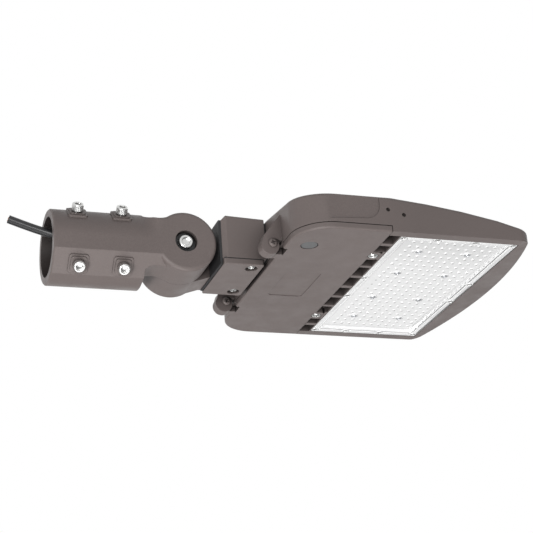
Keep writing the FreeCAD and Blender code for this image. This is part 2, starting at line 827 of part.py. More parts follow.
def make_neck_cover_gasket():
    y = neck_half_width - 0.6
    z0 = neck_cover_top + seat_gap
    z1 = neck_bottom - seat_gap
    post = neck_screw_post + 0.2
    x0 = neck_start_x + neck_wall
    sheet = box(neck_start_x + 0.6, neck_cover_end_x - 0.6, -y, y, z0, z1)
    inner = box(x0, neck_screw_x - post, -y + neck_wall, y - neck_wall, z0 - 1, z1 + 1)
    middle_y = neck_screw_y - post
    middle = box(x0, neck_cover_end_x - neck_wall, -middle_y, middle_y, z0 - 1, z1 + 1)
    holes = []
    for s in (-1, 1):
        at = (neck_screw_x, s * neck_screw_y)
        holes.append(rod(neck_screw_shank + 0.25, (*at, z0 - 1), (*at, z1 + 1)))
    return sheet.cut([inner, middle] + holes)


def make_neck_cover_screws():
    screws = []
    seat = neck_cover_bottom + neck_screw_recess
    for s in (-1, 1):
        grip = neck_bottom - seat + neck_screw_grip
        screw = pan_screw(neck_screw_head, neck_screw_head_height, neck_screw_shank, grip)
        screws.append(place(screw, (neck_screw_x, s * neck_screw_y, seat), (0, 0, -1)))
    return screws


def make_neck_gasket():
    y = neck_half_width - 2.0
    top = neck_top_at(neck_end_x) - neck_wall
    x1 = neck_end_x + neck_gasket_thickness
    sheet = box(neck_end_x + seat_gap, x1, -y, y, neck_bottom + 1, top)
    holes = [rod(wire_hole_radius, (neck_end_x - 1, 0, wire_out_z), (housing_rear_x + 1, 0, wire_out_z))]
    for ny, nz in neck_bolt_places:
        holes.append(rod(bolt_hole_radius, (neck_end_x - 1, ny, nz), (housing_rear_x + 1, ny, nz)))
    return sheet.cut(holes)


def make_neck_bolts():
    """Four screws from inside the neck box into the housing's rear wall."""
    bolts = []
    for y, z in neck_bolt_places:
        reach = housing_rear_x + rear_pad - neck_end_x + neck_wall - 1.0
        bolt = socket_screw(inner_bolt_head, inner_bolt_head_height, arm_bolt_radius, reach, inner_bolt_head)
        bolts.append(place(bolt, (neck_end_x - neck_wall, y, z), (-1, 0, 0)))
    return bolts


# ---------------------------------------------------------------- housing
def plan_face(inset, z):
    """Plan outline of the head: straight rear with round corners, straight sides, curved nose."""
    half = housing_half_width - inset
    rear = housing_rear_x + inset
    corner = housing_corner - inset
    curve = nose_curve - inset
    round_radius = max(nose_corner - inset, 2.0)
    centre_x = nose_x - nose_curve
    round_x = centre_x + math.sqrt((curve - round_radius) ** 2 - (half - round_radius) ** 2)
    to_round = Vector(round_x - centre_x, half - round_radius, 0).normalize()
    touch = Vector(centre_x, 0, 0) + to_round * curve
    bisector = (Vector(0, 1, 0) + to_round).normalize()
    bulge = Vector(round_x, half - round_radius, 0) + bisector * round_radius
    inner = corner * root_half

    def mirror(p):
        return Vector(p.x, -p.y, p.z)

    a = Vector(rear, half - corner, 0)
    b = Vector(rear + corner - inner, half - corner + inner, 0)
    c = Vector(rear + corner, half, 0)
    d = Vector(round_x, half, 0)
    tip = Vector(centre_x + curve, 0, 0)
    edges = [
        Part.makeLine(mirror(a), a),
        Part.Arc(a, b, c).toShape(),
        Part.makeLine(c, d),
        Part.Arc(d, bulge, touch).toShape(),
        Part.Arc(touch, tip, mirror(touch)).toShape(),
        Part.Arc(mirror(touch), mirror(bulge), mirror(d)).toShape(),
        Part.makeLine(mirror(d), mirror(c)),
        Part.Arc(mirror(c), mirror(b), mirror(a)).toShape(),
    ]
    face = Part.Face(Part.Wire(edges))
    face.translate(Vector(0, 0, z))
    return face


def plan_solid(inset, z0, z1):
    return plan_face(inset, z0).extrude(Vector(0, 0, z1 - z0))


def crown_solid(drop):
    """Everything under the crowned top, lowered by a wall thickness."""
    reach = housing_half_width + 14.0
    sections = []
    for x, side, shoulder, crown in crown_profile:
        points = [
            Vector(x, -reach, -60),
            Vector(x, -reach, side - 2 - drop),
            Vector(x, -shoulder_y, shoulder - drop),
            Vector(x, 0, crown - drop),
            Vector(x, shoulder_y, shoulder - drop),
            Vector(x, reach, side - 2 - drop),
            Vector(x, reach, -60),
        ]
        sections.append(Part.makePolygon(points + [points[0]]))
    return Part.makeLoft(sections, True, True)


def head_envelope():
    """Outer form of the housing, with its top edge rounded."""
    outline = plan_solid(0, rim_z, neck_top + housing_corner)
    solid = crown_solid(0).common(outline).Solids[0]
    wall = outline.Shells[0]
    edges = []
    for edge in solid.Edges:
        middle = edge.valueAt((edge.FirstParameter + edge.LastParameter) / 2)
        high = min(v.Point.z for v in edge.Vertexes) > rim_z + 2
        if high and Part.Vertex(middle).distToShape(wall)[0] < 0.05:
            edges.append(edge)
    return solid.makeFillet(top_edge_round, edges)


def side_step_cut(s):
    """Shallow step on the side wall: the rear upper part stands in by a millimetre."""
    y0, y1 = sorted((s * (housing_half_width - side_step_depth), s * (housing_half_width + 5)))
    r = side_step_round
    corner = Vector(side_step_x - r, y0, side_step_z + r)
    mid = corner + Vector(r * root_half, 0, -r * root_half)
    points = [
        Vector(side_step_x, y0, 40),
        Vector(side_step_x, y0, side_step_z + r),
        Vector(side_step_x - r, y0, side_step_z),
        Vector(240.0, y0, side_step_z - 3.0),
        Vector(housing_rear_x - 5, y0, side_step_z - 3.0),
        Vector(housing_rear_x - 5, y0, 40),
    ]
    edges = [
        Part.makeLine(points[0], points[1]),
        Part.Arc(points[1], mid, points[2]).toShape(),
        Part.makeLine(points[2], points[3]),
        Part.makeLine(points[3], points[4]),
        Part.makeLine(points[4], points[5]),
        Part.makeLine(points[5], points[0]),
    ]
    return Part.Face(Part.Wire(edges)).extrude(Vector(0, y1 - y0, 0))


def lug_solid(s):
    """Gusset on the rear wall with a round lower end that holds a hinge pin."""
    y0, y1 = sorted((s * lug_inner_y, s * (lug_inner_y + lug_width)))
    cx, cz = lug_centre
    gusset = slab_xz(
        [
            (housing_rear_x + 1, 14.0),
            (housing_rear_x - 0.5, 14.0),
            (cx - 6.0, cz + 11.0),
            (cx - lug_round, cz),
            (cx, cz - 2.0),
            (cx + 6.0, cz + 7.4),
            (housing_rear_x + 1, seam_z + 3.0),
        ],
        y0,
        y1,
    )
    end = rod(lug_round, (cx, y0, cz), (cx, y1, cz))
    return gusset.fuse(end)


def fin_solids():
    """Upright fins along X on the light engine's base."""
    fins = []
    for y in sorted(set(fin_ys + [-v for v in fin_ys])):
        fins.append(box(compartment_end_x + 2, fin_end_x + 2, y - fin_thickness / 2, y + fin_thickness / 2,
                        base_top_z - 1, 60))
    return fins


def vent_boxes():
    """Openings between the driver compartment and the light engine."""
    boxes = []
    for low, high in vent_ranges:
        boxes.append(box(vent_x[0], vent_x[1], low, high, rim_z - 1, 60))
        boxes.append(box(vent_x[0], vent_x[1], -high, -low, rim_z - 1, 60))
    return boxes


def compartment_space():
    """Hollow that holds the driver, open below."""
    inner = plan_solid(housing_wall, seam_z - 1, 60).common(crown_solid(housing_wall))
    inner = inner.common(box(housing_rear_x, compartment_end_x, -200, 200, seam_z - 1, 60))
    top = seam_z + sealing_flange_depth
    ledge = plan_solid(housing_wall, seam_z - 2, top)
    opening = plan_solid(sealing_flange, seam_z - 2, top + 1)
    limit = box(housing_rear_x, compartment_end_x - 3, -200, 200, seam_z - 2, top + 1)
    return inner.cut(ledge), opening.common(limit)


def roof_pads():
    """Pads under the compartment's roof that the electrical parts screw to."""
    x0, x1, y0, y1, z0, z1 = driver_box
    middle = (x0 + x1) / 2
    sx0, sx1, sy0, sy1, sz0, sz1 = surge_box
    tx0, tx1, ty0, ty1, tz0, tz1 = terminal_box
    pads = [
        box(middle - 8, middle + 8, y0 - driver_ear, y0 - 1, z1, 50),
        box(middle - 8, middle + 8, y1 + 1, y1 + driver_ear, z1, 50),
        box(sx0 + 2, sx1 - 2, sy0 + 10, sy1 - 10, sz1, 50),
        box(tx0 + 2, tx1 - 2, ty0 + 6, ty1 - 6, tz1, 50),
        rod(5.0, (*ground_place, ground_seat_z), (*ground_place, 50)),
        box(housing_rear_x + 1, housing_rear_x + rear_pad, -38, 38, -12, 24),
    ]
    return [p.common(crown_solid(housing_wall / 2)) for p in pads]


def make_housing():
    """Die-cast body: driver compartment behind, finned light engine in front, hinge lugs."""
    shell = head_envelope()
    space, opening = compartment_space()
    under = box(housing_rear_x - 40, cover_end_x + seam_gap, -200, 200, rim_z - 5, seam_z)
    tab_half = cover_tab_half + seam_gap
    cuts = [space, opening, under]
    for s in (-1, 1):
        y = s * cover_screw_y
        tab_end = cover_screw_x + cover_tab_reach + seam_gap
        cuts.append(box(cover_end_x - 1, tab_end, y - tab_half, y + tab_half, rim_z - 5, seam_z))
        cuts.append(side_step_cut(s))
    bevel_run = 60.0
    bevel_x = tray_x1 + 0.4
    bevel_z = rim_z + math.tan(math.radians(nose_bevel_degrees)) * bevel_run
    bevel_end = bevel_x + bevel_run
    bevel = [(bevel_x, rim_z - 1), (bevel_x, rim_z), (bevel_end, bevel_z), (bevel_end, rim_z - 1)]
    cuts.append(slab_xz(bevel, -200, 200))
    cuts.append(box(tray_x0, tray_x1, -tray_y, tray_y, rim_z - 1, ledge_z))
    cuts.append(box(pocket_x0, pocket_x1, -pocket_y, pocket_y, ledge_z - 1, board_pocket_z))
    shell = shell.cut(cuts)
    side_in = housing_half_width - housing_wall - 2.0
    channel = box(cover_end_x + 1, fin_end_x, -side_in, side_in, base_top_z, 60)
    ribs = []
    for s in (-1, 1):
        y = s * cover_screw_y
        half = cover_tab_half
        ribs.append(box(cover_end_x, vent_x[1], y - half, y + half, rim_z, base_top_z + 14))
    channel = channel.cut(fin_solids() + ribs)
    shell = shell.cut([channel] + vent_boxes())
    pads = roof_pads()
    lugs = [lug_solid(-1), lug_solid(1)]
    body = fuse([shell] + pads + lugs)
    holes = []
    for s in (-1, 1):
        y0, y1 = sorted((s * (lug_inner_y - 1), s * (lug_inner_y + lug_width + 1)))
        holes.append(rod(hinge_pin_radius + 0.02, (hinge_x, y0, hinge_z), (hinge_x, y1, hinge_z)))
        at = (cover_screw_x, s * cover_screw_y)
        hole_radius = cover_screw_shank + cover_screw_play
        holes.append(rod(hole_radius, (*at, seam_z - 1), (*at, seam_z + cover_screw_grip + 2)))
        inner_y = s * (housing_half_width - shield_hole_depth)
        for x, z in shield_holes:
            holes.append(rod(shield_hole_radius, (x, inner_y, z), (x, s * (housing_half_width + 4), z)))
    x0 = housing_rear_x - 1
    x1 = housing_rear_x + rear_pad + 1
    for y, z in neck_bolt_places:
        holes.append(rod(arm_bolt_radius + thread_play, (x0, y, z), (x1, y, z)))
    holes.append(rod(wire_hole_radius, (x0, 0, wire_out_z), (x1, 0, wire_out_z)))
    lead_y = lead_hole_y
    lead_r = lead_hole_radius
    lead_x1 = pocket_x0 + 4.0
    holes.append(rod(lead_r, (compartment_end_x - 2, lead_y, lead_hole_z), (lead_x1, lead_y, lead_hole_z)))
    slot_z = board_pocket_z - 0.1
    holes.append(box(pocket_x0, lead_x1, lead_y - lead_r, lead_y + lead_r, slot_z, lead_hole_z))
    for x, y, seat, radius, reach in fixing_holes():
        holes.append(rod(radius + thread_play, (x, y, seat - 1), (x, y, seat + reach)))
    return body.cut(holes)


def fixing_holes():
    """Blind screw holes in the housing: x, y, start height, screw radius and depth."""
    radius = mount_screw_radius
    holes = [(x, y, ledge_z, rim_screw_shank, rim_screw_grip + 0.5) for x, y in rim_screw_places()]
    depth = field_screw_grip + 0.4
    holes += [(x, y, board_pocket_z, field_screw_shank, depth) for x, y in field_screw_places()]
    holes += [(x, y, driver_box[5], radius, 6.0) for x, y in driver_screw_places()]
    holes.append((*surge_screw_place(), surge_box[5], radius, 6.0))
    holes.append((*terminal_screw_place(), terminal_box[5], terminal_screw_radius, 5.0))
    holes.append((*ground_place, ground_seat_z, radius, 4.0))
    return holes


def rim_screw_places():
    """Screws along the lens's four edges."""
    y = lens_half_width - lens_rim_width / 2
    x_left = lens_start_x + lens_rim_width / 2
    x_right = lens_end_x - lens_rim_width / 2
    places = [(x, s * y) for x in rim_screw_x for s in (-1, 1)]
    places += [(x, s * rim_screw_y) for x in (x_left, x_right) for s in (-1, 1)]
    return places


def field_screw_places():
    return [(x, s * y) for x in field_screw_x for y in field_screw_y for s in (-1, 1)]


def driver_screw_places():
    x0, x1, y0, y1, z0, z1 = driver_box
    middle = (x0 + x1) / 2
    return [(middle, y0 - driver_ear / 2), (middle, y1 + driver_ear / 2)]


def surge_screw_place():
    return ((surge_box[0] + surge_box[1]) / 2, (surge_box[2] + surge_box[3]) / 2)


def terminal_screw_place():
    return ((terminal_box[0] + terminal_box[1]) / 2, (terminal_box[2] + terminal_box[3]) / 2)


def make_hinge_pins():
    """Two shouldered pins, heads to the near side, so that the cover can slide off."""
    pins = []
    for s in (-1, 1):
        head_y = s * lug_inner_y if s > 0 else s * (lug_inner_y + lug_width)
        end_y = head_y + lug_width + knuckle_width + hinge_pin_end
        shank = rod(hinge_pin_radius, (hinge_x, head_y - 0.1, hinge_z), (hinge_x, end_y, hinge_z))
        head = pan_screw(hinge_head_radius, hinge_head_height, hinge_pin_radius / 3, hinge_pin_radius / 6)
        head = place(head, (hinge_x, head_y - 0.02, hinge_z), (0, -1, 0))
        pins.append(fuse([shank, head]))
    return pins


# ---------------------------------------------------------------- driver cover
def make_driver_cover():
    """Door under the driver compartment, with tabs for its screws and knuckles for its hinge."""
    top = seam_z - seam_gap
    reach = box(housing_rear_x - 5, cover_end_x, -200, 200, cover_face_z - 1, top)
    pan = plan_solid(0, cover_face_z, top).common(reach)
    tabs = []
    for s in (-1, 1):
        y = s * cover_screw_y
        tab = box(cover_end_x - 4, cover_screw_x + cover_tab_reach, y - cover_tab_half, y + cover_tab_half,
                  cover_face_z, top)
        corners = [e for e in tab.Edges if e.BoundBox.XMin > cover_screw_x and e.BoundBox.ZLength > 3]
        tabs.append(tab.makeFillet(4.0, corners))
    pan = fuse([pan] + tabs)
    low = [e for e in pan.Edges if e.BoundBox.ZMax < cover_face_z + 0.01]
    outer = [e for e in low if e.BoundBox.XMin < cover_end_x - 6]
    pan = pan.makeFillet(cover_round, outer)
    hollow = plan_solid(housing_wall, cover_face_z + cover_plate, top + 1)
    hollow = hollow.common(box(housing_rear_x, cover_end_x - housing_wall, -200, 200, cover_face_z, top + 1))
    x0, x1, y0, y1 = label_box
    label = box(x0, x1, y0, y1, cover_face_z - 1, cover_face_z + label_depth)
    label_corners = [e for e in label.Edges if abs(e.tangentAt(e.FirstParameter).z) > 0.9]
    label = label.makeFillet(4.0, label_corners)
    plug_at = (sensor_plug_x, sensor_plug_y)
    cuts = [hollow, label]
    plug_seat = cover_face_z + sensor_plug_recess
    cuts.append(rod(sensor_plug_radius + 0.8, (*plug_at, cover_face_z - 1), (*plug_at, plug_seat)))
    cuts.append(rod(sensor_stem_radius + 0.3, (*plug_at, cover_face_z - 1), (*plug_at, cover_face_z + 9)))
    notch_x = hinge_x + 14.6
    for s in (-1, 1):
        y0n, y1n = sorted((s * (lug_inner_y - 2.0), s * (lug_inner_y + lug_width + 2.0)))
        cuts.append(box(housing_rear_x - 5, notch_x, y0n, y1n, cover_face_z - 1, top + 1))
        at = (cover_screw_x, s * cover_screw_y)
        cuts.append(rod(cover_screw_shank + 0.4, (*at, cover_face_z - 1), (*at, top + 1)))
        seat = cover_face_z + cover_screw_recess
        cuts.append(rod(cover_screw_head + 0.6, (*at, cover_face_z - 1), (*at, seat)))
    body = pan.cut(cuts)
    knuckles = [knuckle_solid(s) for s in (-1, 1)]
    walls = []
    half = lug_width / 2 + 5.0
    for s in (-1, 1):
        y = s * (lug_inner_y + lug_width / 2)
        walls.append(box(notch_x, notch_x + cover_plate, y - half, y + half, cover_face_z + 0.5, top))
    body = fuse([body] + knuckles + walls)
    bores = []
    for s in (-1, 1):
        y0, y1 = knuckle_span(s)
        radius = hinge_pin_radius + hinge_play / 2
        bores.append(rod(radius, (hinge_x, y0 - 1, hinge_z), (hinge_x, y1 + 1, hinge_z)))
    return body.cut(bores)


def knuckle_span(s):
    """Y range of the cover's knuckle, on the far side of each lug."""
    start = (s * lug_inner_y + lug_width if s > 0 else -lug_inner_y) + 0.3
    return start, start + knuckle_width


def knuckle_solid(s):
    y0, y1 = knuckle_span(s)
    eye = rod(knuckle_round, (hinge_x, y0, hinge_z), (hinge_x, y1, hinge_z))
    arm = box(hinge_x, housing_rear_x + 4, y0, y1, cover_face_z, seam_z - seam_gap)
    return eye.fuse(arm)


def make_cover_gasket():
    z0 = cover_face_z + cover_plate + 0.02
    z1 = seam_z - 0.3
    outer = plan_solid(housing_wall + 0.8, z0, z1)
    inner = plan_solid(sealing_flange - 0.5, z0 - 1, z1 + 1)
    x1 = cover_end_x - housing_wall - 0.4
    band = outer.common(box(housing_rear_x, x1, -200, 200, z0, z1))
    hole = inner.common(box(housing_rear_x, x1 - 5.0, -200, 200, z0 - 1, z1 + 1))
    cuts = [hole]
    detours = []
    notch_half = lug_width / 2 + 5.4
    notch_end = hinge_x + 18.0
    for s in (-1, 1):
        middle = s * (lug_inner_y + lug_width / 2)
        notch = box(housing_rear_x, notch_end, middle - notch_half, middle + notch_half, z0 - 1, z1 + 1)
        low_y = middle - notch_half - 4.0
        high_y = middle + notch_half + 4.0
        detour = box(housing_rear_x + 3.6, notch_end + 4.0, low_y, high_y, z0, z1)
        detours.append(detour.cut(notch))
        cuts.append(notch)
    return fuse([band.cut(cuts)] + [d.common(outer) for d in detours])


def make_cover_screws():
    screws = []
    seat = cover_face_z + cover_screw_recess
    for s in (-1, 1):
        grip = seam_z - seat + cover_screw_grip
        screw = pan_screw(cover_screw_head, cover_screw_head_height, cover_screw_shank, grip)
        screws.append(place(screw, (cover_screw_x, s * cover_screw_y, seat), (0, 0, -1)))
    return screws


def make_sensor_plug():
    """Blanking plug where a sensor would fit."""
    at = (sensor_plug_x, sensor_plug_y)
    z = cover_face_z + sensor_plug_recess
    head = rod(sensor_plug_radius, (*at, cover_face_z + 0.3), (*at, z - seat_gap))
    stem = rod(sensor_stem_radius, (*at, z - 0.1), (*at, cover_face_z + cover_plate + 3.2))
    return head.fuse(stem).removeSplitter()


def make_plug_nut():
    at = (sensor_plug_x, sensor_plug_y)
    z = cover_face_z + cover_plate + seat_gap
    nut = place(hex_prism(sensor_plug_radius * 2.2, 2.6), (*at, z), (0, 0, 1))
    return nut.cut(rod(sensor_stem_radius + 0.05, (*at, z - 1), (*at, z + 5)))


# ---------------------------------------------------------------- light engine
def lens_frame(x0, x1, y, margin, z0, z1):
    """Rectangle in plan with round corners, as a solid."""
    solid = box(x0, x1, -y, y, z0, z1)
    corners = [e for e in solid.Edges if abs(e.tangentAt(e.FirstParameter).z) > 0.9]
    return solid.makeFillet(margin, corners)


def make_lens_panel():
    """Moulded lens: a raised rim that screws to the housing round a sunken field."""
    inner_z = lens_field_z + lens_field_thickness
    rim = lens_frame(lens_start_x, lens_end_x, lens_half_width, 2.0, lens_z, lens_z + lens_rim_thickness)
    gap = 0.3
    step = lens_frame(pocket_x0 + gap, pocket_x1 - gap, pocket_y - gap, 2.0, lens_z, inner_z)
    x0 = lens_start_x + lens_rim_width
    x1 = lens_end_x - lens_rim_width
    y = lens_half_width - lens_rim_width
    sunk = lens_frame(x0, x1, y, 2.0, lens_z - 1, lens_field_z)
    cuts = [sunk]
    for sx, sy in rim_screw_places():
        cuts.append(rod(rim_screw_shank + 0.2, (sx, sy, lens_z - 1), (sx, sy, inner_z + 1)))
        cuts.append(rod(rim_screw_head + 0.3, (sx, sy, lens_z - 1), (sx, sy, lens_z + rim_screw_recess)))
    for sx, sy in field_screw_places():
        cuts.append(rod(field_screw_shank + 0.2, (sx, sy, lens_z - 1), (sx, sy, inner_z + 1)))
    return fuse([rim, step]).cut(cuts)


def make_lens_gasket():
    z0 = lens_z + lens_rim_thickness + seat_gap
    z1 = ledge_z - seat_gap
    y = lens_half_width - 0.2
    outer = box(lens_start_x + 0.2, lens_end_x - 0.2, -y, y, z0, z1)
    inner = box(pocket_x0, pocket_x1, -pocket_y, pocket_y, z0 - 1, z1 + 1)
    holes = [rod(rim_screw_shank + 0.2, (x, y, z0 - 1), (x, y, z1 + 1)) for x, y in rim_screw_places()]
    return outer.cut([inner] + holes)


def make_lens_screws():
    screws = []
    seat = lens_z + rim_screw_recess
    for x, y in rim_screw_places():
        screw = pan_screw(rim_screw_head, 1.4, rim_screw_shank, ledge_z - seat + rim_screw_grip)
        screws.append(place(screw, (x, y, seat), (0, 0, -1)))
    return screws


def make_field_screws():
    """Screws through the lens and the board into the housing's base."""
    screws = []
    for x, y in field_screw_places():
        reach = board_pocket_z - lens_field_z + field_screw_grip
        screw = pan_screw(field_screw_head, 1.8, field_screw_shank, reach)
        screws.append(place(screw, (x, y, lens_field_z), (0, 0, -1)))
    return screws


def board_sheet(z0, z1):
    sheet = box(board_x0, board_x1, -board_y, board_y, z0, z1)
    holes = [rod(field_screw_shank + 0.2, (x, y, z0 - 1), (x, y, z1 + 1)) for x, y in field_screw_places()]
    return sheet.cut(holes)


def make_thermal_pad():
    return board_sheet(board_top_z + seat_gap, board_pocket_z - seat_gap)


def make_led_board():
    return board_sheet(board_face_z, board_top_z)


def chip_places():
    """LED positions: a grid that leaves room for the board's connector and the field screws."""
    places = []
    middle = (chip_rows - 1) / 2
    for i in range(chip_columns):
        for j in range(chip_rows):
            if i == 0 and abs(j - middle) < 1.5:
                continue
            x = chip_first_x + i * chip_pitch_x
            y = (j - middle) * chip_pitch_y
            clash = any(math.hypot(x - sx, y - sy) < field_screw_shank + 0.2 + chip_size
                        for sx, sy in field_screw_places())
            if not clash:
                places.append((x, y))
    return places


def make_led_chips():
    half = chip_size / 2
    z1 = board_face_z - 0.01
    return [box(x - half, x + half, y - half, y + half, z1 - chip_height, z1) for x, y in chip_places()]


# ---------------------------------------------------------------- electrical parts
def make_driver():
    x0, x1, y0, y1, z0, z1 = driver_box
    case = box(x0, x1, y0, y1, z0, z1 - seat_gap)
    case = case.makeFillet(2.0, [e for e in case.Edges if e.BoundBox.YLength > (y1 - y0) / 2])
    middle = (x0 + x1) / 2
    low = z1 - ear_thickness
    half = driver_ear_half
    ears = box(middle - half, middle + half, y0 - driver_ear, y1 + driver_ear, low, z1 - seat_gap)
    hole_radius = mount_screw_radius + 0.3
    holes = [rod(hole_radius, (x, y, low - 1), (x, y, z1 + 1)) for x, y in driver_screw_places()]
    return fuse([case, ears]).cut(holes)


def make_driver_screws():
    screws = []
    seat = driver_box[5] - ear_thickness
    for x, y in driver_screw_places():
        reach = ear_thickness + mount_screw_grip
        screw = pan_screw(mount_screw_head, mount_screw_head_height, mount_screw_radius, reach)
        screws.append(place(screw, (x, y, seat), (0, 0, -1)))
    return screws


def make_surge_protector():
    x0, x1, y0, y1, z0, z1 = surge_box
    case = box(x0, x1, y0, y1, z0, z1 - seat_gap)
    case = case.makeFillet(3.0, [e for e in case.Edges if abs(e.tangentAt(e.FirstParameter).z) > 0.9])
    x, y = surge_screw_place()
    counterbore = rod(5.0, (x, y, z0 - 1), (x, y, z1 - 4))
    return case.cut([counterbore, rod(mount_screw_radius + 0.3, (x, y, z0 - 1), (x, y, z1 + 1))])


def make_surge_screw():
    x, y = surge_screw_place()
    screw = pan_screw(mount_screw_head, 2.4, mount_screw_radius, 8.0)
    return place(screw, (x, y, surge_box[5] - 4.0), (0, 0, -1))


def make_terminal_block():
    """Three-way block with open wire entries and a foot screw."""
    x0, x1, y0, y1, z0, z1 = terminal_box
    block = box(x0, x1, y0, y1, z0, z1 - seat_gap)
    cuts = []
    z = z0 + terminal_entry_rise
    for y in terminal_entries():
        cuts.append(rod(lead_radius + 0.7, (x0 - 1, y, z), (x0 + 6, y, z)))
        cuts.append(rod(lead_radius + 0.7, (x1 + 1, y, z), (x1 - 6, y, z)))
        cuts.append(rod(lead_radius + 1.0, (x0 + 4, y, z0 - 1), (x0 + 4, y, z0 + 3)))
    x, y = terminal_screw_place()
    cuts.append(rod(3.2, (x, y, z0 - 1), (x, y, z1 - 4)))
    cuts.append(rod(terminal_screw_radius + 0.3, (x, y, z0 - 1), (x, y, z1 + 1)))
    return block.cut(cuts)


def terminal_entries():
    """Y of the three wire entries; the foot screw takes the third of four places."""
    pitch = (terminal_box[3] - terminal_box[2]) / 4
    return [terminal_box[2] + pitch * (k + 0.5) for k in (0, 1, 3)]


def make_terminal_screw():
    x, y = terminal_screw_place()
    screw = pan_screw(2.8, 1.8, terminal_screw_radius, 7.0)
    return place(screw, (x, y, terminal_box[5] - 4.0), (0, 0, -1))


def make_ground_screw():
    screw = pan_screw(4.2, 2.4, mount_screw_radius, 3.5)
    return place(screw, (*ground_place, ground_seat_z), (0, 0, -1))


def make_head_leads():
    """Three leads from the knuckle's middle plane through arm and neck to the terminal block."""
    leads = []
    for k in (-1, 0, 1):
        x, z = chamber_point(k, 0.0)
        x_out, z_out = chamber_point(k, -28.0)
        spread = lead_pitch * k
        height = wire_out_z + spread
        entry_y = terminal_entries()[k + 1]
        entry_z = terminal_box[4] + terminal_entry_rise
        entry_x = terminal_box[0]
        past_pad = housing_rear_x + rear_pad
        route = [
            (x, half_gap, z),
            (x, wire_y / 2 - 1.0, z),
            (x_out, wire_y - 4.0, z_out),
            (pivot_x + chamber_radius + 4.0, wire_y, spread),
            (neck_start_x + neck_wall + 4.0, wire_y, spread),
            (neck_start_x + 26.0, 8.0, height),
            (neck_end_x - 5.0, -0.5, height),
            (past_pad - 0.5, -0.5, height),
            (past_pad + 4.5, -8.0, height),
            (entry_x - 5.5, (entry_y - 16.0) / 2, (height + entry_z) / 2),
            (entry_x - 5.5, entry_y + 5.0, entry_z),
            (entry_x - 1.5, entry_y, entry_z),
            (entry_x + 3.5, entry_y, entry_z),
        ]
        leads.append(tube_along(route, lead_radius)[0])
    return leads


def make_led_leads():
    """Two leads from the driver through the front wall to the LED board."""
    leads = []
    for k in (-0.5, 0.5):
        offset = led_lead_pitch * k
        x = led_lead_x + offset
        route = [
            (driver_box[1] + 0.4, -4.0, -4.0 + offset),
            (x, -6.0, -4.0 + offset),
            (x, -40.0, -8.0 + offset),
            (x, lead_hole_y + 9.0, lead_hole_z),
            (x + 6.0, lead_hole_y + offset, lead_hole_z),
            (pocket_x0 + 3.0, lead_hole_y + offset, lead_hole_z),
        ]
        leads.append(tube_along(route, led_lead_radius)[0])
    return leads


# ---------------------------------------------------------------- write every node
def main():
    os.makedirs("parts", exist_ok=True)
    nodes = {
        "clamp_body": make_clamp_body,
        "clamp_screws": make_clamp_screws,
        "pivot_bolt": make_pivot_bolt,
        "pivot_washer": make_pivot_washer,
        "knuckle_o_ring": make_knuckle_ring,
        "cable_grommet": make_cable_grommet,
        "supply_cable": make_supply_cable,
        "supply_leads": make_supply_leads,
        "tilt_arm": make_tilt_arm,
        "pivot_nut": make_pivot_nut,
        "arm_gasket": make_arm_gasket,
        "arm_bolts": make_arm_bolts,
        "neck_box": make_neck_box,
        "neck_cover": make_neck_cover,
        "neck_cover_gasket": make_neck_cover_gasket,
        "neck_cover_screws": make_neck_cover_screws,
        "neck_gasket": make_neck_gasket,
        "neck_bolts": make_neck_bolts,
        "housing": make_housing,
        "hinge_pins": make_hinge_pins,
        "lens_panel": make_lens_panel,
        "lens_gasket": make_lens_gasket,
        "lens_screws": make_lens_screws,
        "field_screws": make_field_screws,
        "thermal_pad": make_thermal_pad,
        "led_board": make_led_board,
        "led_chips": make_led_chips,
        "driver": make_driver,
        "driver_screws": make_driver_screws,
        "surge_protector": make_surge_protector,
        "surge_screw": make_surge_screw,
        "terminal_block": make_terminal_block,
        "terminal_screw": make_terminal_screw,
        "ground_screw": make_ground_screw,
        "head_leads": make_head_leads,
        "led_leads": make_led_leads,
        "driver_cover": make_driver_cover,
        "cover_gasket": make_cover_gasket,
        "cover_screws": make_cover_screws,
        "sensor_plug": make_sensor_plug,
        "plug_nut": make_plug_nut,
    }
    for name, make in nodes.items():
        save(name, make())


main()
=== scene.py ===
import json
import math

import bpy
import numpy as np
from mathutils import Matrix, Vector


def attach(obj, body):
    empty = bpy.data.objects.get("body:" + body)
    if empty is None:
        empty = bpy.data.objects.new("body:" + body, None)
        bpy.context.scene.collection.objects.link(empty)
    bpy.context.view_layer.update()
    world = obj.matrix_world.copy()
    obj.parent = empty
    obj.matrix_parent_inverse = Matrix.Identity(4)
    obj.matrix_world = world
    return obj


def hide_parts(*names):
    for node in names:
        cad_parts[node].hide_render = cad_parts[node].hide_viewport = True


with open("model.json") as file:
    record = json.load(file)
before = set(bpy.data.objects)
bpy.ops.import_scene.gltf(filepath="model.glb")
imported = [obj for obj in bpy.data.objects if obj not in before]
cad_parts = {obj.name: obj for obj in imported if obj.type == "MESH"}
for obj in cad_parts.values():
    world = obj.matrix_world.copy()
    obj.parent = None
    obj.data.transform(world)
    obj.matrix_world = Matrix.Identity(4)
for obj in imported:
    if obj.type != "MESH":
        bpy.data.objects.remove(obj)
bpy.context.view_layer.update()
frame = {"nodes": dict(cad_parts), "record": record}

nodes = frame["nodes"]
scene = bpy.context.scene
scene.view_settings.view_transform = "Standard"
print("frame loaded,", len(nodes), "nodes")

# camera: below the light and to its near side, as the photograph looks at it
camera = {
    "place": (-0.28700, -1.43650, -0.63955),
    "right": (0.94712, -0.31353, -0.06827),
    "up": (-0.06084, -0.38438, 0.92117),
    "back": (-0.31505, -0.86831, -0.38313),
    "lens": 105.86,
    "sensor": 36.0,
    "nearest": 0.01,
    "farthest": 50.0,
}


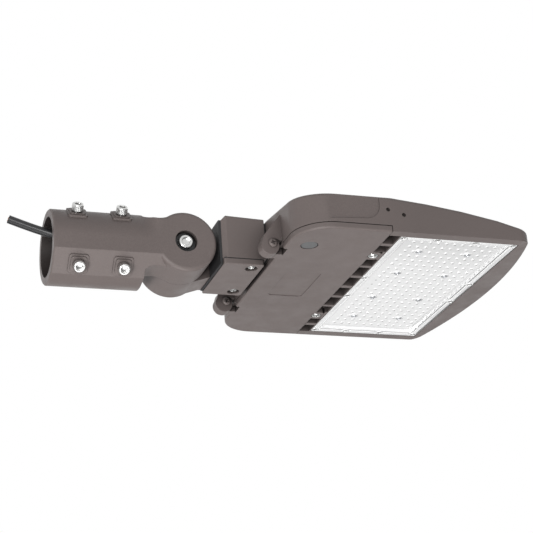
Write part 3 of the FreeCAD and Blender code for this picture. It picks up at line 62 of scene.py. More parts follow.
def aimCamera(settings):
    data = bpy.data.cameras.new("camera")
    data.sensor_width = settings["sensor"]
    data.lens = settings["lens"]
    data.clip_start = settings["nearest"]
    data.clip_end = settings["farthest"]
    eye = bpy.data.objects.new("camera", data)
    scene.collection.objects.link(eye)
    # the three directions are the columns of the camera's turn
    turn = Matrix((settings["right"], settings["up"], settings["back"])).transposed()
    eye.matrix_world = Matrix.Translation(settings["place"]) @ turn.to_4x4()
    scene.camera = eye


aimCamera(camera)

# supply cable: the same route points as the supply_cable tube in model.glb, in metres
cable = {
    "route": [
        (0.101, -0.014, 0.0),
        (0.072, -0.014, 0.0),
        (0.040, -0.008, 0.0032),
        (0.010, -0.002, 0.0126),
        (-0.016, 0.0, 0.0204),
        (-0.0385, 0.0, 0.0282),
    ],
    "radius": 0.0043,
    "roundSteps": 8,
    "lengthSteps": 24,
    "order": 3,
    "length": 0.1445,
    "leaves": (0.082, -0.014, 0.0),
    "dark": (0.010, 0.010, 0.011),
    "pale": (0.022, 0.022, 0.024),
    "rough": 0.30,
    "lines": 160.0,
    "drawn": (0.15, 6.0, 6.0),
    "relief": (0.15, 0.0002),
}


def routeCurve(name, settings):
    # a round tube along a smooth curve through the route
    route = settings["route"]
    data = bpy.data.curves.new(name, "CURVE")
    data.dimensions = "3D"
    data.bevel_depth = settings["radius"]
    data.bevel_resolution = settings["roundSteps"]
    data.resolution_u = settings["lengthSteps"]
    data.use_fill_caps = True
    spline = data.splines.new("NURBS")
    spline.points.add(len(route) - 1)
    flat = np.ones((len(route), 4))
    flat[:, :3] = route
    spline.points.foreach_set("co", flat.ravel())
    spline.order_u = settings["order"]
    spline.use_endpoint_u = True
    piece = bpy.data.objects.new(name, data)
    scene.collection.objects.link(piece)
    return piece


supplyCable = routeCurve("supplyCable", cable)
print("cable laid")

# materials
white = (1.0, 1.0, 1.0)


class Surface:
    # a small helper that adds nodes to one material and links them
    def __init__(self, name):
        self.material = bpy.data.materials.new(name)
        self.material.use_nodes = True
        self.tree = self.material.node_tree
        self.shader = self.tree.nodes["Principled BSDF"]
        self.output = self.tree.nodes["Material Output"]
        self.place = self.add("ShaderNodeTexCoord")

    def add(self, kind, **values):
        node = self.tree.nodes.new(kind)
        for key, value in values.items():
            if key in node.inputs:
                node.inputs[key].default_value = value
            else:
                setattr(node, key, value)
        return node

    def link(self, a, output, b, socket):
        self.tree.links.new(a.outputs[output], b.inputs[socket])

    def set(self, **values):
        for key, value in values.items():
            self.shader.inputs[key.replace("_", " ")].default_value = value

    def noise(self, scale, detail=3.0, roughness=0.5, stretch=None):
        node = self.add("ShaderNodeTexNoise", Scale=scale, Detail=detail, Roughness=roughness)
        if stretch:
            mapping = self.add("ShaderNodeMapping")
            mapping.inputs["Scale"].default_value = stretch
            self.link(self.place, "Object", mapping, "Vector")
            self.link(mapping, "Vector", node, "Vector")
        else:
            self.link(self.place, "Object", node, "Vector")
        return node

    def ramp(self, source, low, high, band=(0.3, 0.7), output="Fac"):
        # a colour that runs from low to high while the source crosses the band
        node = self.add("ShaderNodeValToRGB")
        for element, position, colour in zip(node.color_ramp.elements, band, (low, high)):
            element.position = position
            element.color = (*colour, 1.0)
        self.link(source, output, node, "Fac")
        return node

    def arithmetic(self, operation, source, output, *numbers):
        # the source's value first, then fixed numbers
        node = self.add("ShaderNodeMath", operation=operation)
        for socket, number in enumerate(numbers, 1):
            node.inputs[socket].default_value = number
        self.link(source, output, node, 0)
        return node

    def product(self, first, second):
        node = self.add("ShaderNodeMath", operation="MULTIPLY")
        self.link(first, 0, node, 0)
        self.link(second, 0, node, 1)
        return node

    def colourProduct(self, first, output, second):
        node = self.add("ShaderNodeMix", data_type="RGBA", blend_type="MULTIPLY")
        node.inputs["Factor"].default_value = 1.0
        self.link(first, output, node, "A")
        self.link(second, "Color", node, "B")
        return node

    def coordinates(self):
        axes = self.add("ShaderNodeSeparateXYZ")
        self.link(self.place, "Object", axes, "Vector")
        return axes

    def distance(self, **coordinates):
        # length of the vector made of the given coordinates, each a (node, output)
        vector = self.add("ShaderNodeCombineXYZ")
        for axis, (node, output) in coordinates.items():
            self.link(node, output, vector, axis)
        length = self.add("ShaderNodeVectorMath", operation="LENGTH")
        self.link(vector, 0, length, 0)
        return length

    def bump(self, layers, rounding=0.0):
        # height layers (noise, (strength, distance)) stacked over softly rounded edges
        last = None
        if rounding > 0:
            last = self.add("ShaderNodeBevel", samples=6, Radius=rounding)
        for source, (strength, distance) in layers:
            node = self.add("ShaderNodeBump", Strength=strength, Distance=distance)
            self.link(source, "Fac", node, "Height")
            if last:
                self.link(last, "Normal", node, "Normal")
            last = node
        self.link(last, "Normal", self.shader, "Normal")


def shade(colour, factor):
    return tuple(min(c * factor, 1.0) for c in colour)


def grey(level):
    return (level,) * 3


paint = {
    "colour": (0.148, 0.123, 0.117),
    "cloud": 9.0,
    "cloudDetail": 4.0,
    "cloudTones": (0.94, 1.06),
    "grain": 1500.0,
    "grainTones": (0.90, 1.08),
    "grainBand": (0.35, 0.65),
    "grainRelief": (0.22, 0.00015),
    "peel": 420.0,
    "peelRelief": (0.12, 0.0004),
    "fineDetail": 2.0,
    "rough": (0.36, 0.50),
    "roughCloud": 60.0,
    "rounding": 0.0007,
    "specular": 0.28,
    # painted shade in the hollows: how far it reaches, how dark it is painted, and its samples
    "hollowReach": 0.05,
    "hollowShadeTone": 0.22,
    "hollowBand": (0.2, 0.8),
    "hollowSamples": 6,
    # painted shade in the socket's bore: its radius, its end and how dark it is painted
    "boreRadius": 0.0313,
    "boreEnd": 0.083,
    "boreShadeTone": 0.30,
}


def powderCoat(name, settings):
    # textured coat: cloudy tone, fine grain, painted shade in the hollows and in the socket's bore, and a
    # slight orange peel over rounded edges
    s = Surface(name)
    cloud = s.noise(settings["cloud"], settings["cloudDetail"])
    tone = s.ramp(cloud, *[shade(settings["colour"], t) for t in settings["cloudTones"]])
    grain = s.noise(settings["grain"], settings["fineDetail"])
    speck = s.ramp(grain, *[grey(t) for t in settings["grainTones"]], band=settings["grainBand"])
    coat = s.colourProduct(tone, "Color", speck)
    # painted shade in the hollows: the tone falls to a share of itself where little sky is seen
    reach, samples = settings["hollowReach"], settings["hollowSamples"]
    sky = s.add("ShaderNodeAmbientOcclusion", samples=samples, Distance=reach)
    paintedShade = s.ramp(sky, grey(settings["hollowShadeTone"]), white, band=settings["hollowBand"], output="AO")
    coat = s.colourProduct(coat, "Result", paintedShade)
    # painted shade in the socket's bore, darker inside: distance from the X axis, as far as the bore's
    # end
    axes = s.coordinates()
    fromAxis = s.distance(Y=(axes, "Y"), Z=(axes, "Z"))
    within = s.arithmetic("LESS_THAN", fromAxis, "Value", settings["boreRadius"])
    before = s.arithmetic("LESS_THAN", axes, "X", settings["boreEnd"])
    inBore = s.product(within, before)
    paintedBoreShade = s.ramp(inBore, white, grey(settings["boreShadeTone"]), band=(0.0, 1.0), output="Value")
    coat = s.colourProduct(coat, "Result", paintedBoreShade)
    s.link(coat, "Result", s.shader, "Base Color")
    s.set(Specular_IOR_Level=settings["specular"])
    gloss = s.ramp(s.noise(settings["roughCloud"]), *[grey(r) for r in settings["rough"]])
    s.link(gloss, "Color", s.shader, "Roughness")
    peel = s.noise(settings["peel"], settings["fineDetail"])
    s.bump([(peel, settings["peelRelief"]), (grain, settings["grainRelief"])], settings["rounding"])
    return s.material


bareMetal = {
    "scratches": 900.0,
    "scratchDetail": 4.0,
    "scratchContrast": 0.6,
    "worn": 0.86,
    "cloudShare": 0.35,
    "glossBand": (0.3, 0.75),
    "relief": (0.08, 0.0001),
    "rounding": 0.0003,
}


def metal(name, colour, rough, stretch=(1, 1, 1), settings=bareMetal):
    # bare metal: drawn scratches along one direction, cloudy gloss between two roughnesses
    s = Surface(name)
    s.set(Metallic=1.0)
    scale = settings["scratches"]
    scratch = s.noise(scale, settings["scratchDetail"], settings["scratchContrast"], stretch)
    tone = s.ramp(scratch, shade(colour, settings["worn"]), colour)
    s.link(tone, "Color", s.shader, "Base Color")
    cloud = s.noise(scale * settings["cloudShare"], stretch=stretch)
    gloss = s.ramp(cloud, *[grey(r) for r in rough], band=settings["glossBand"])
    s.link(gloss, "Color", s.shader, "Roughness")
    s.bump([(scratch, settings["relief"])], settings["rounding"])
    return s.material


elastomer = {
    "dust": 35.0,
    "dustDetail": 5.0,
    "dusty": 1.7,
    "dustBand": (0.3, 0.8),
    "grain": 700.0,
    "relief": (0.25, 0.0002),
    "rounding": 0.0003,
}


def rubber(name, colour, rough=0.62, settings=elastomer):
    # matt elastomer: dusty tone and a fine moulded grain
    s = Surface(name)
    cloud = s.noise(settings["dust"], settings["dustDetail"])
    dust = s.ramp(cloud, colour, shade(colour, settings["dusty"]), band=settings["dustBand"])
    s.link(dust, "Color", s.shader, "Base Color")
    s.set(Roughness=rough)
    s.bump([(s.noise(settings["grain"]), settings["relief"])], settings["rounding"])
    return s.material


moulded = {
    "cloud": 40.0,
    "tones": (0.95, 1.04),
    "glossCloud": 90.0,
    "glossShares": (0.9, 1.12),
    "grain": 500.0,
    "relief": (0.12, 0.0002),
    "rounding": 0.0003,
}


def plastic(name, colour, rough, settings=moulded):
    # moulded plastic: faint clouds in tone and gloss, fine grain
    s = Surface(name)
    tone = s.ramp(s.noise(settings["cloud"]), *[shade(colour, t) for t in settings["tones"]])
    s.link(tone, "Color", s.shader, "Base Color")
    gloss = s.ramp(s.noise(settings["glossCloud"]), *[grey(rough * t) for t in settings["glossShares"]])
    s.link(gloss, "Color", s.shader, "Roughness")
    s.bump([(s.noise(settings["grain"]), settings["relief"])], settings["rounding"])
    return s.material


def jacketMaterial(settings):
    # extruded jacket: faint length-wise drag lines under a satin skin
    s = Surface("cableJacket")
    lines = s.noise(settings["lines"], 2.0, stretch=settings["drawn"])
    tone = s.ramp(lines, settings["dark"], settings["pale"])
    s.link(tone, "Color", s.shader, "Base Color")
    s.set(Roughness=settings["rough"])
    s.bump([(lines, settings["relief"])])
    return s.material


lens = {
    # plan and section of the panel
    "x": (0.3305, 0.4602),
    "halfWidth": 0.1342,
    "face": -0.0233,
    "rimWidth": 0.0075,
    "rimDip": 0.0008,
    "rimBack": -0.0195,
    "fieldFace": -0.0185,
    "fieldBack": -0.0172,
    "stepInset": 0.0058,
    "cornerRound": 0.002,
    "leastRound": 0.0012,
    "cornerPoints": 8,
    # LED grid and its domes
    "firstX": 0.353,
    "pitchX": 0.0091,
    "pitchY": 0.0115,
    "columns": 11,
    "rows": 21,
    "blankReach": 1.5,
    "domeRadius": 0.0021,
    "domeRise": 0.0012,
    "domeSides": 10,
    "domeSteps": (1.0, 0.82, 0.55, 0.28),
    # screws' places, the bars between them and the bosses round them
    "rimScrewX": (0.3343, 0.3715, 0.4135, 0.4564),
    "endScrewY": 0.025,
    "endInset": 0.00375,
    "fieldScrewX": (0.368, 0.423),
    "fieldScrewY": (0.0345, 0.092),
    "fieldClearance": 0.0048,
    "barHalf": 0.0019,
    "barDip": 0.0009,
    "barGap": 0.0048,
    "barArc": 9,
    "barProfile": ((0.0, 0.0003), (0.0001, 0.0001), (0.0004, 0.0)),
    "endBars": ((-0.126, -0.030), (-0.020, 0.020), (0.030, 0.126)),
    "bossSides": 28,
    "rimBoss": ((0.0040, 0.0009), (0.0040, 0.0003), (0.0038, 0.0), (0.0033, 0.0),
                (0.0031, 0.0002), (0.0031, 0.0014)),
    "fieldBoss": ((0.0052, 0.0), (0.0050, -0.0006), (0.0046, -0.0008), (0.0039, -0.0008),
                  (0.0037, -0.0001)),
    "sharp": 50,
    # look
    "tint": (0.88, 0.88, 0.88),
    "veil": 0.87,
    "rough": 0.16,
    "index": 1.49,
    "shine": 0.07,
    "ripple": 120.0,
    "relief": (0.05, 0.0003),
    "spot": (0.40, 0.40, 0.39),
    "spotRadius": 0.0013,
    "spotFade": (0.6, 1.25),
}


def clearMoulding(settings):
    # clear plastic: part of the light goes straight through a pale veil, and the skin shines
    s = Surface("clearLens")
    s.set(Roughness=settings["rough"], IOR=settings["index"], Alpha=settings["veil"])
    axes = s.coordinates()

    def fromGrid(axis, first, pitch):
        # distance along one axis from the nearest of evenly spaced points
        shifted = s.arithmetic("SUBTRACT", axes, axis, first - pitch / 2)
        folded = s.arithmetic("WRAP", shifted, 0, pitch, 0.0)
        return s.arithmetic("SUBTRACT", folded, 0, pitch / 2)

    def insideGrid(axis, first, pitch, count):
        middle = first + pitch * (count - 1) / 2
        return s.arithmetic("COMPARE", axes, axis, middle, pitch * count / 2)

    # each LED shows as a soft grey spot: distance to the nearest point of the LED grid
    pitchX, pitchY, rows = settings["pitchX"], settings["pitchY"], settings["rows"]
    alongX = fromGrid("X", settings["firstX"], pitchX)
    alongY = fromGrid("Y", 0.0, pitchY)
    fromSpot = s.distance(X=(alongX, 0), Y=(alongY, 0))
    start, end = [share * settings["spotRadius"] for share in settings["spotFade"]]
    limits = {"From Min": start, "From Max": end, "To Min": 1.0, "To Max": 0.0}
    fade = s.add("ShaderNodeMapRange", interpolation_type="SMOOTHSTEP", **limits)
    s.link(fromSpot, "Value", fade, "Value")
    inX = insideGrid("X", settings["firstX"], pitchX, settings["columns"])
    inY = insideGrid("Y", -pitchY * (rows - 1) / 2, pitchY, rows)
    spot = s.product(s.product(inX, inY), fade)
    tone = s.ramp(spot, settings["tint"], settings["spot"], band=(0.0, 1.0), output="Value")
    s.link(tone, "Color", s.shader, "Base Color")
    s.bump([(s.noise(settings["ripple"], 2.0), settings["relief"])])
    shine = s.add("ShaderNodeBsdfGlossy", Roughness=settings["shine"])
    shine.inputs["Color"].default_value = (*white, 1.0)
    edge = s.add("ShaderNodeFresnel", IOR=settings["index"])
    blend = s.add("ShaderNodeMixShader")
    s.link(edge, 0, blend, 0)
    s.link(s.shader, 0, blend, 1)
    s.link(shine, 0, blend, 2)
    s.link(blend, 0, s.output, "Surface")
    return s.material


# slot name: its material, with the colour and then the roughness or its two limits
materials = {
    "bronze_paint": powderCoat("bronzePaint", paint),
    "stainless": metal("stainless", (0.66, 0.66, 0.65), (0.20, 0.36), (1, 1, 3)),
    "zinc_steel": metal("zincSteel", (0.72, 0.73, 0.75), (0.28, 0.5)),
    "black_rubber": rubber("blackRubber", (0.012, 0.012, 0.013)),
    "cable_jacket": jacketMaterial(cable),
    "lead_insulation": plastic("leadInsulation", (0.02, 0.02, 0.022), 0.35),
    "lens_clear": clearMoulding(lens),
    "board_white": plastic("boardWhite", (0.84, 0.84, 0.82), 0.45),
    "led_yellow": plastic("ledPhosphor", (0.74, 0.70, 0.55), 0.35),
    "driver_case": metal("driverCase", (0.34, 0.35, 0.36), (0.48, 0.62), (1, 6, 1)),
    "black_plastic": plastic("blackPlastic", (0.018, 0.018, 0.019), 0.5),
    "grey_plastic": plastic("greyPlastic", (0.105, 0.107, 0.109), 0.42),
    "green_steel": metal("greenSteel", (0.08, 0.30, 0.13), (0.3, 0.5)),
    "thermal_grey": rubber("thermalPad", (0.16, 0.17, 0.19), 0.8),
}
copperMaterial = metal("copperStrand", (0.75, 0.36, 0.2), (0.25, 0.4))
slotOf = {p["node"]: p["material_slot"] for p in frame["record"]["subparts"]}

smoothing = {"weld": 1e-6, "sharp": 27}


def softShadeModifier(settings):
    # joins the loose triangles and shades smoothly wherever faces meet under the given angle
    group = bpy.data.node_groups.new("softShade", "GeometryNodeTree")
    group.interface.new_socket("Geometry", in_out="INPUT", socket_type="NodeSocketGeometry")
    group.interface.new_socket("Geometry", in_out="OUTPUT", socket_type="NodeSocketGeometry")
    add = group.nodes.new
    start = add("NodeGroupInput")
    end = add("NodeGroupOutput")
    merge = add("GeometryNodeMergeByDistance")
    merge.inputs["Distance"].default_value = settings["weld"]
    faces = add("GeometryNodeSetShadeSmooth")
    faces.domain = "FACE"
    edges = add("GeometryNodeSetShadeSmooth")
    edges.domain = "EDGE"
    edges.inputs["Shade Smooth"].default_value = False
    angle = add("GeometryNodeInputMeshEdgeAngle")
    test = add("FunctionNodeCompare")
    test.operation = "GREATER_THAN"
    test.inputs["B"].default_value = math.radians(settings["sharp"])
    wire = group.links.new
    wire(start.outputs[0], merge.inputs["Geometry"])
    wire(merge.outputs["Geometry"], faces.inputs["Geometry"])
    wire(faces.outputs["Geometry"], edges.inputs["Geometry"])
    wire(angle.outputs["Unsigned Angle"], test.inputs["A"])
    wire(test.outputs["Result"], edges.inputs["Selection"])
    wire(edges.outputs["Geometry"], end.inputs[0])
    return group


softShade = softShadeModifier(smoothing)
for name, piece in nodes.items():
    for place in piece.material_slots:
        place.material = materials[slotOf[name]]
    if not piece.material_slots:
        piece.data.materials.append(materials[slotOf[name]])
    piece.modifiers.new("softShade", "NODES").node_group = softShade
    weighted = piece.modifiers.new("weightedNormal", "WEIGHTED_NORMAL")
    weighted.keep_sharp = True
print("materials on every node")


# shared makers
def meshPiece(name, vertices, faces, material, slotName, body, replaced=()):
    data = bpy.data.meshes.new(name)
    data.from_pydata(vertices.tolist(), [], faces)
    data.polygons.foreach_set("use_smooth", [True] * len(data.polygons))
    data.materials.append(material)
    data.update()
    piece = bpy.data.objects.new(name, data)
    scene.collection.objects.link(piece)
    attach(piece, body)
    if replaced:
        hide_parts(*replaced)
    return piece


def sharpen(piece, degrees):
    piece.data.set_sharp_from_angle(angle=math.radians(degrees))


def fullTurn(count):
    return np.linspace(0, 2 * math.pi, count, endpoint=False)


def gridFaces(rows, columns, flip=False):
    # quads between neighbouring rows of a grid that is wrapped round
    i = np.arange(rows - 1)[:, None]
    j = np.arange(columns)[None, :]
    k = (j + 1) % columns
    corners = [i * columns + j, i * columns + k, (i + 1) * columns + k, (i + 1) * columns + j]
    quads = np.stack([c + 0 * (i + j) for c in corners], -1).reshape(-1, 4)
    return (quads[:, ::-1] if flip else quads).tolist()


def ringPoints(rings, angles):
    # every ring is (radius at each angle, height)
    radii = np.array([np.broadcast_to(r, angles.shape) for r, z in rings])
    heights = np.array([z for r, z in rings])
    z = np.broadcast_to(heights[:, None], radii.shape)
    return np.stack([radii * np.cos(angles), radii * np.sin(angles), z], -1).reshape(-1, 3)


def ringStack(rings, angles):
    # rings joined by quads; the two ends are closed with fans
    points = ringPoints(rings, angles)
    count = len(angles)
    faces = gridFaces(len(rings), count)
    first = len(points)
    points = np.vstack([points, [0, 0, rings[0][1]], [0, 0, rings[-1][1]]])
    j = np.arange(count)
    k = (j + 1) % count
    last = (len(rings) - 1) * count
    faces += np.stack([k, j, np.full(count, first)], -1).tolist()
    faces += np.stack([last + j, last + k, np.full(count, first + 1)], -1).tolist()
    return points, faces


def hexRadius(acrossFlats, angles):
    # distance from the centre to a hexagon's side at each angle
    turned = np.mod(angles, math.pi / 3) - math.pi / 6
    return acrossFlats / 2 / np.cos(turned)


def crossRadius(reach, halfWidth, angles):
    # distance from the centre to the edge of a plus sign at each angle
    tiny = 1e-6
    c = np.maximum(np.abs(np.cos(angles)), tiny)
    s = np.maximum(np.abs(np.sin(angles)), tiny)
    alongX = np.minimum(reach / c, halfWidth / s)
    alongY = np.minimum(reach / s, halfWidth / c)
    return np.maximum(alongX, alongY)


def placed(points, spot, direction, spin=0.0):
    # turns +Z to a direction and moves the origin to a spot
    turn = Vector((0, 0, 1)).rotation_difference(Vector(direction)).to_matrix()
    turn = np.array(turn) @ np.array(Matrix.Rotation(spin, 3, "Z"))
    return points @ turn.T + np.array(spot)


def joined(parts):
    # several (points, faces) as one
    allPoints = []
    allFaces = []
    start = 0
    for points, faces in parts:
        allPoints.append(points)
        allFaces += [[v + start for v in f] for f in faces]
        start += len(points)
    return np.vstack(allPoints), allFaces


print("makers ready")

# supply cable's skin and cut end
supplyCable.data.materials.append(materials["cable_jacket"])
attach(supplyCable, "fitter")
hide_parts("supply_cable")

# three insulated cores with copper strands show at the cut
cut = {
    "end": cable["route"][-1],
    "before": cable["route"][-2],
    "turns": (0.4, 2.5, 4.6),
    "sides": 16,
    "spread": 0.0017,
    # (radius, height) from inside the jacket to past the cut
    "core": ((0.00125, -0.002), (0.00125, 0.00021), (0.001125, 0.0003)),
    "copper": ((0.0006, -0.001), (0.0006, 0.00048), (0.00036, 0.0006)),
}


def cutCores(settings):
    out = (Vector(settings["end"]) - Vector(settings["before"])).normalized()
    around = fullTurn(settings["sides"])
    ends = []
    for name, rings, material in (("cutInsulation", settings["core"], materials["lead_insulation"]),
                                  ("cutCopper", settings["copper"], copperMaterial)):
        points, faces = ringStack(rings, around)
        parts = []
        for turn in settings["turns"]:
            offset = np.array([math.cos(turn), math.sin(turn), 0]) * settings["spread"]
            parts.append((placed(points + offset, settings["end"], out), faces))
        ends.append(meshPiece(name, *joined(parts), material, "lead_insulation", "fitter"))
    return ends


cutEnds = cutCores(cut)


# screws
def socketHead(settings):
    # cap screw: shank, rounded head with a knurled wall, chamfered hexagon socket; seat at z = 0
    head, height, shank = settings["head"], settings["height"], settings["shank"]
    length, key, knurls = settings["length"], settings["key"], settings["knurls"]
    angles = fullTurn(max(72, knurls * 6))
    wave = settings["knurlDepth"] * (0.5 + 0.5 * np.cos(knurls * angles))
    wall = head - wave
    hexagon = hexRadius(key, angles)
    floor = height - height * 0.55
    soft = head * 0.13
    tip = shank * 0.82
    rings = [
        (tip * 0.999, -length),
        (shank, -length + shank - tip),
        (shank, -0.0004),
        (shank, 0.0),
        (wall - soft * 0.4, 0.0),
        (wall, soft * 0.4),
        (wall, height * 0.3),
        (wall, height - soft * 1.6),
        (head - soft * 0.2, height - soft * 0.9),
        (head - soft * 0.6, height - soft * 0.3),
        (head - soft * 1.3, height),
        (key * 0.62, height),
        (np.maximum(hexagon, key * 0.56), height - key * 0.04),
        (hexagon, height - key * 0.1),
        (hexagon * 0.995, floor),
        (key * 0.3, floor - key * 0.06),
    ]
    return ringStack(rings, angles)


def panHead(settings):
    # domed head with a cross recess whose walls lean in; seat at z = 0
    head, height, shank = settings["head"], settings["height"], settings["shank"]
    length, depth = settings["length"], settings["depth"]
    angles = fullTurn(64)
    cross = crossRadius(settings["reach"], settings["halfWidth"], angles)
    sweep = np.linspace(0, 1.1, 6)
    dome = [(head * math.cos(a) ** 0.55, height * (0.25 + 0.75 * math.sin(a))) for a in sweep]
    edge, top = dome[-1]
    crown = top + height * 0.03
    rings = [
        (shank * 0.8, -length),
        (shank, -length + shank * 0.3),
        (shank, 0.0),
        (head * 0.97, 0.0),
        (head, height * 0.12),
        *dome,
        (np.maximum(cross * 1.12, edge * 0.55), crown),
        (cross * 1.06, crown),
        (cross, top),
        (cross * 0.86, top - depth),
        (cross * 0.3, top - depth * 1.15),
    ]
    return ringStack(rings, angles)


screws = {"spins": (0.3, 1.1, 0.7, 1.9), "sharp": 34}
down = (0, 0, -1)
near = (0, -1, 0)


def screwPiece(name, shape, places, directions, slotName, body, node):
    # one shape at each place and direction, each turned a little differently
    points, faces = shape
    parts = []
    for index, (spot, direction) in enumerate(zip(places, directions)):
        spin = screws["spins"][index % len(screws["spins"])]
        parts.append((placed(points, spot, direction, spin), faces))
    piece = meshPiece(name, *joined(parts), materials[slotName], slotName, body, (node,))
    sharpen(piece, screws["sharp"])


clampScrew = {
    "x": (0.026, 0.0715),
    "turns": (45, 135),
    "seat": 0.0421,
    "head": 0.006,
    "height": 0.0072,
    "shank": 0.004,
    "length": 0.0109,
    "key": 0.0064,
    "knurls": 26,
    "knurlDepth": 0.00022,
}
outwards = []
seats = []
for turn in np.radians(clampScrew["turns"]):
    for x in clampScrew["x"]:
        outward = (0.0, -math.sin(turn), -math.cos(turn))
        outwards.append(outward)
        seats.append((x, outward[1] * clampScrew["seat"], outward[2] * clampScrew["seat"]))
screwPiece("clampScrews", socketHead(clampScrew), seats, outwards, "stainless", "fitter", "clamp_screws")

pivotBolt = {
    "seats": [(0.136, -0.0326, 0.0)],
    "head": 0.0074,
    "height": 0.0055,
    "shank": 0.00475,
    "length": 0.0696,
    "key": 0.0078,
    "knurls": 0,
    "knurlDepth": 0.0,
}
screwPiece("pivotBolt", socketHead(pivotBolt), pivotBolt["seats"], [near],
           "stainless", "fitter", "pivot_bolt")

rimY = lens["halfWidth"] - lens["rimWidth"] / 2
endX = (lens["x"][0] + lens["endInset"], lens["x"][1] - lens["endInset"])
rimSpots = [(x, s * rimY) for x in lens["rimScrewX"] for s in (-1, 1)]
rimSpots += [(x, s * lens["endScrewY"]) for x in endX for s in (-1, 1)]
fieldSpots = [(x, s * y) for x in lens["fieldScrewX"] for y in lens["fieldScrewY"] for s in (-1, 1)]

# pan-head screws: piece, slot, body, the node it replaces, its seats, direction and sizes
panScrews = [
    {
        "piece": ("neckCoverScrews", "stainless", "head", "neck_cover_screws"),
        "seats": [(0.206, -0.0315, -0.020), (0.206, 0.0315, -0.020)],
        "direction": down,
        "head": 0.0043, "height": 0.0026, "shank": 0.00175, "length": 0.0136,
        "reach": 0.0024, "halfWidth": 0.00055, "depth": 0.0012,
    },
    {
        "piece": ("doorScrews", "stainless", "driver_cover", "cover_screws"),
        "seats": [(0.3195, -0.085, -0.0226), (0.3195, 0.085, -0.0226)],
        "direction": down,
        "head": 0.005, "height": 0.0026, "shank": 0.0025, "length": 0.0104,
        "reach": 0.0028, "halfWidth": 0.00062, "depth": 0.0013,
    },
    {
        "piece": ("lensScrews", "stainless", "head", "lens_screws"),
        "seats": [(*spot, -0.0218) for spot in rimSpots],
        "direction": down,
        "head": 0.0029, "height": 0.0014, "shank": 0.0014, "length": 0.0076,
        "reach": 0.0016, "halfWidth": 0.00038, "depth": 0.0008,
    },
    {
        "piece": ("fieldScrews", "zinc_steel", "head", "field_screws"),
        "seats": [(*spot, lens["fieldFace"]) for spot in fieldSpots],
        "direction": down,
        "head": 0.0034, "height": 0.0018, "shank": 0.0016, "length": 0.0077,
        "reach": 0.0019, "halfWidth": 0.00042, "depth": 0.0009,
    },
    {
        "piece": ("hingePins", "bronze_paint", "head", "hinge_pins"),
        "seats": [(0.2115, -0.086, -0.0175), (0.2115, 0.074, -0.0175)],
        "direction": near,
        "head": 0.0046, "height": 0.003, "shank": 0.003, "length": 0.0229,
        "reach": 0.0026, "halfWidth": 0.0006, "depth": 0.0014,
    },
]
for settings in panScrews:
    name, slotName, body, node = settings["piece"]
    directions = [settings["direction"]] * len(settings["seats"])
    screwPiece(name, panHead(settings), settings["seats"], directions, slotName, body, node)
print("screws in")


# lens panel: rim carried round a rounded rectangle, flat field with one dome per LED
def roundedLoop(x0, x1, half, radius, perCorner):
    # points round a rectangle in plan, anticlockwise, with quarter-circle corners
    loops = []
    for cx, cy, start in ((x1 - radius, half - radius, 0), (x0 + radius, half - radius, 90),
                          (x0 + radius, -half + radius, 180), (x1 - radius, -half + radius, 270)):
        a = np.radians(start + np.linspace(0, 90, perCorner))
        loops.append(np.stack([cx + radius * np.cos(a), cy + radius * np.sin(a)], -1))
    return np.vstack(loops)


def insetRings(settings, profile):
    # every (inset, height) of the profile becomes one ring of the same number of points
    rows = []
    x0, x1 = settings["x"]
    half, perCorner = settings["halfWidth"], settings["cornerPoints"]
    for inset, z in profile:
        radius = max(settings["cornerRound"] - inset, settings["leastRound"])
        loop = roundedLoop(x0 + inset, x1 - inset, half - inset, radius, perCorner)
        rows.append(np.column_stack([loop, np.full(len(loop), z)]))
    return rows


def lensBody(settings):
    # section from the field's face over the rim to the back: (inset from the outline, height)
    face, fieldFace = settings["face"], settings["fieldFace"]
    fieldBack, rimBack = settings["fieldBack"], settings["rimBack"]
    low = face + settings["rimDip"]
    wide, step = settings["rimWidth"], settings["stepInset"]
    profile = [
        (wide + 0.0004, fieldFace),
        (wide, fieldFace - 0.0004),
        (wide, low + 0.0002),
        (wide - 0.0003, low),
        (wide - 0.0016, low),
        (wide - 0.0018, low + 0.0001),
        (0.0016, low + 0.0001),
        (0.0012, low - 0.0001),
        (0.0010, face + 0.0001),
        (0.0008, face),
        (0.0003, face),
        (0.0, face + 0.0004),
        (0.0, rimBack),
        (step, rimBack),
        (step, fieldBack - 0.0004),
        (step + 0.0004, fieldBack),
    ]
    rows = insetRings(settings, profile)
    count = len(rows[0])
    faces = gridFaces(len(rows), count, flip=True)
    last = (len(rows) - 1) * count
    faces.append(list(range(count))[::-1])
    faces.append(list(range(last, last + count)))
    return np.vstack(rows), faces


def domeCap(settings):
    # half an ellipsoid of revolution that hangs under the field: radius R sin t, depth h cos t
    count = settings["domeSides"]
    t = np.array(settings["domeSteps"]) * math.pi / 2
    rings = [(settings["domeRadius"] * math.sin(a), settings["domeRise"] * math.cos(a)) for a in t]
    points = ringPoints(rings, fullTurn(count))
    points = np.vstack([points, [0, 0, settings["domeRise"]]])
    faces = gridFaces(len(rings), count)
    last = (len(rings) - 1) * count
    tip = len(points) - 1
    faces += [[last + j, last + (j + 1) % count, tip] for j in range(count)]
    return points * [1, -1, -1] + [0, 0, settings["fieldFace"]], faces


def ledSpots(settings, covers):
    # the LED grid without the connector's three places and those under the field's screws
    middle = (settings["rows"] - 1) / 2
    spots = []
    for i in range(settings["columns"]):
        for j in range(settings["rows"]):
            x = settings["firstX"] + i * settings["pitchX"]
            y = (j - middle) * settings["pitchY"]
            blank = i == 0 and abs(j - middle) < settings["blankReach"]
            covered = any(math.hypot(x - sx, y - sy) < settings["fieldClearance"] for sx, sy in covers)
            if not blank and not covered:
                spots.append((x, y))
    return spots


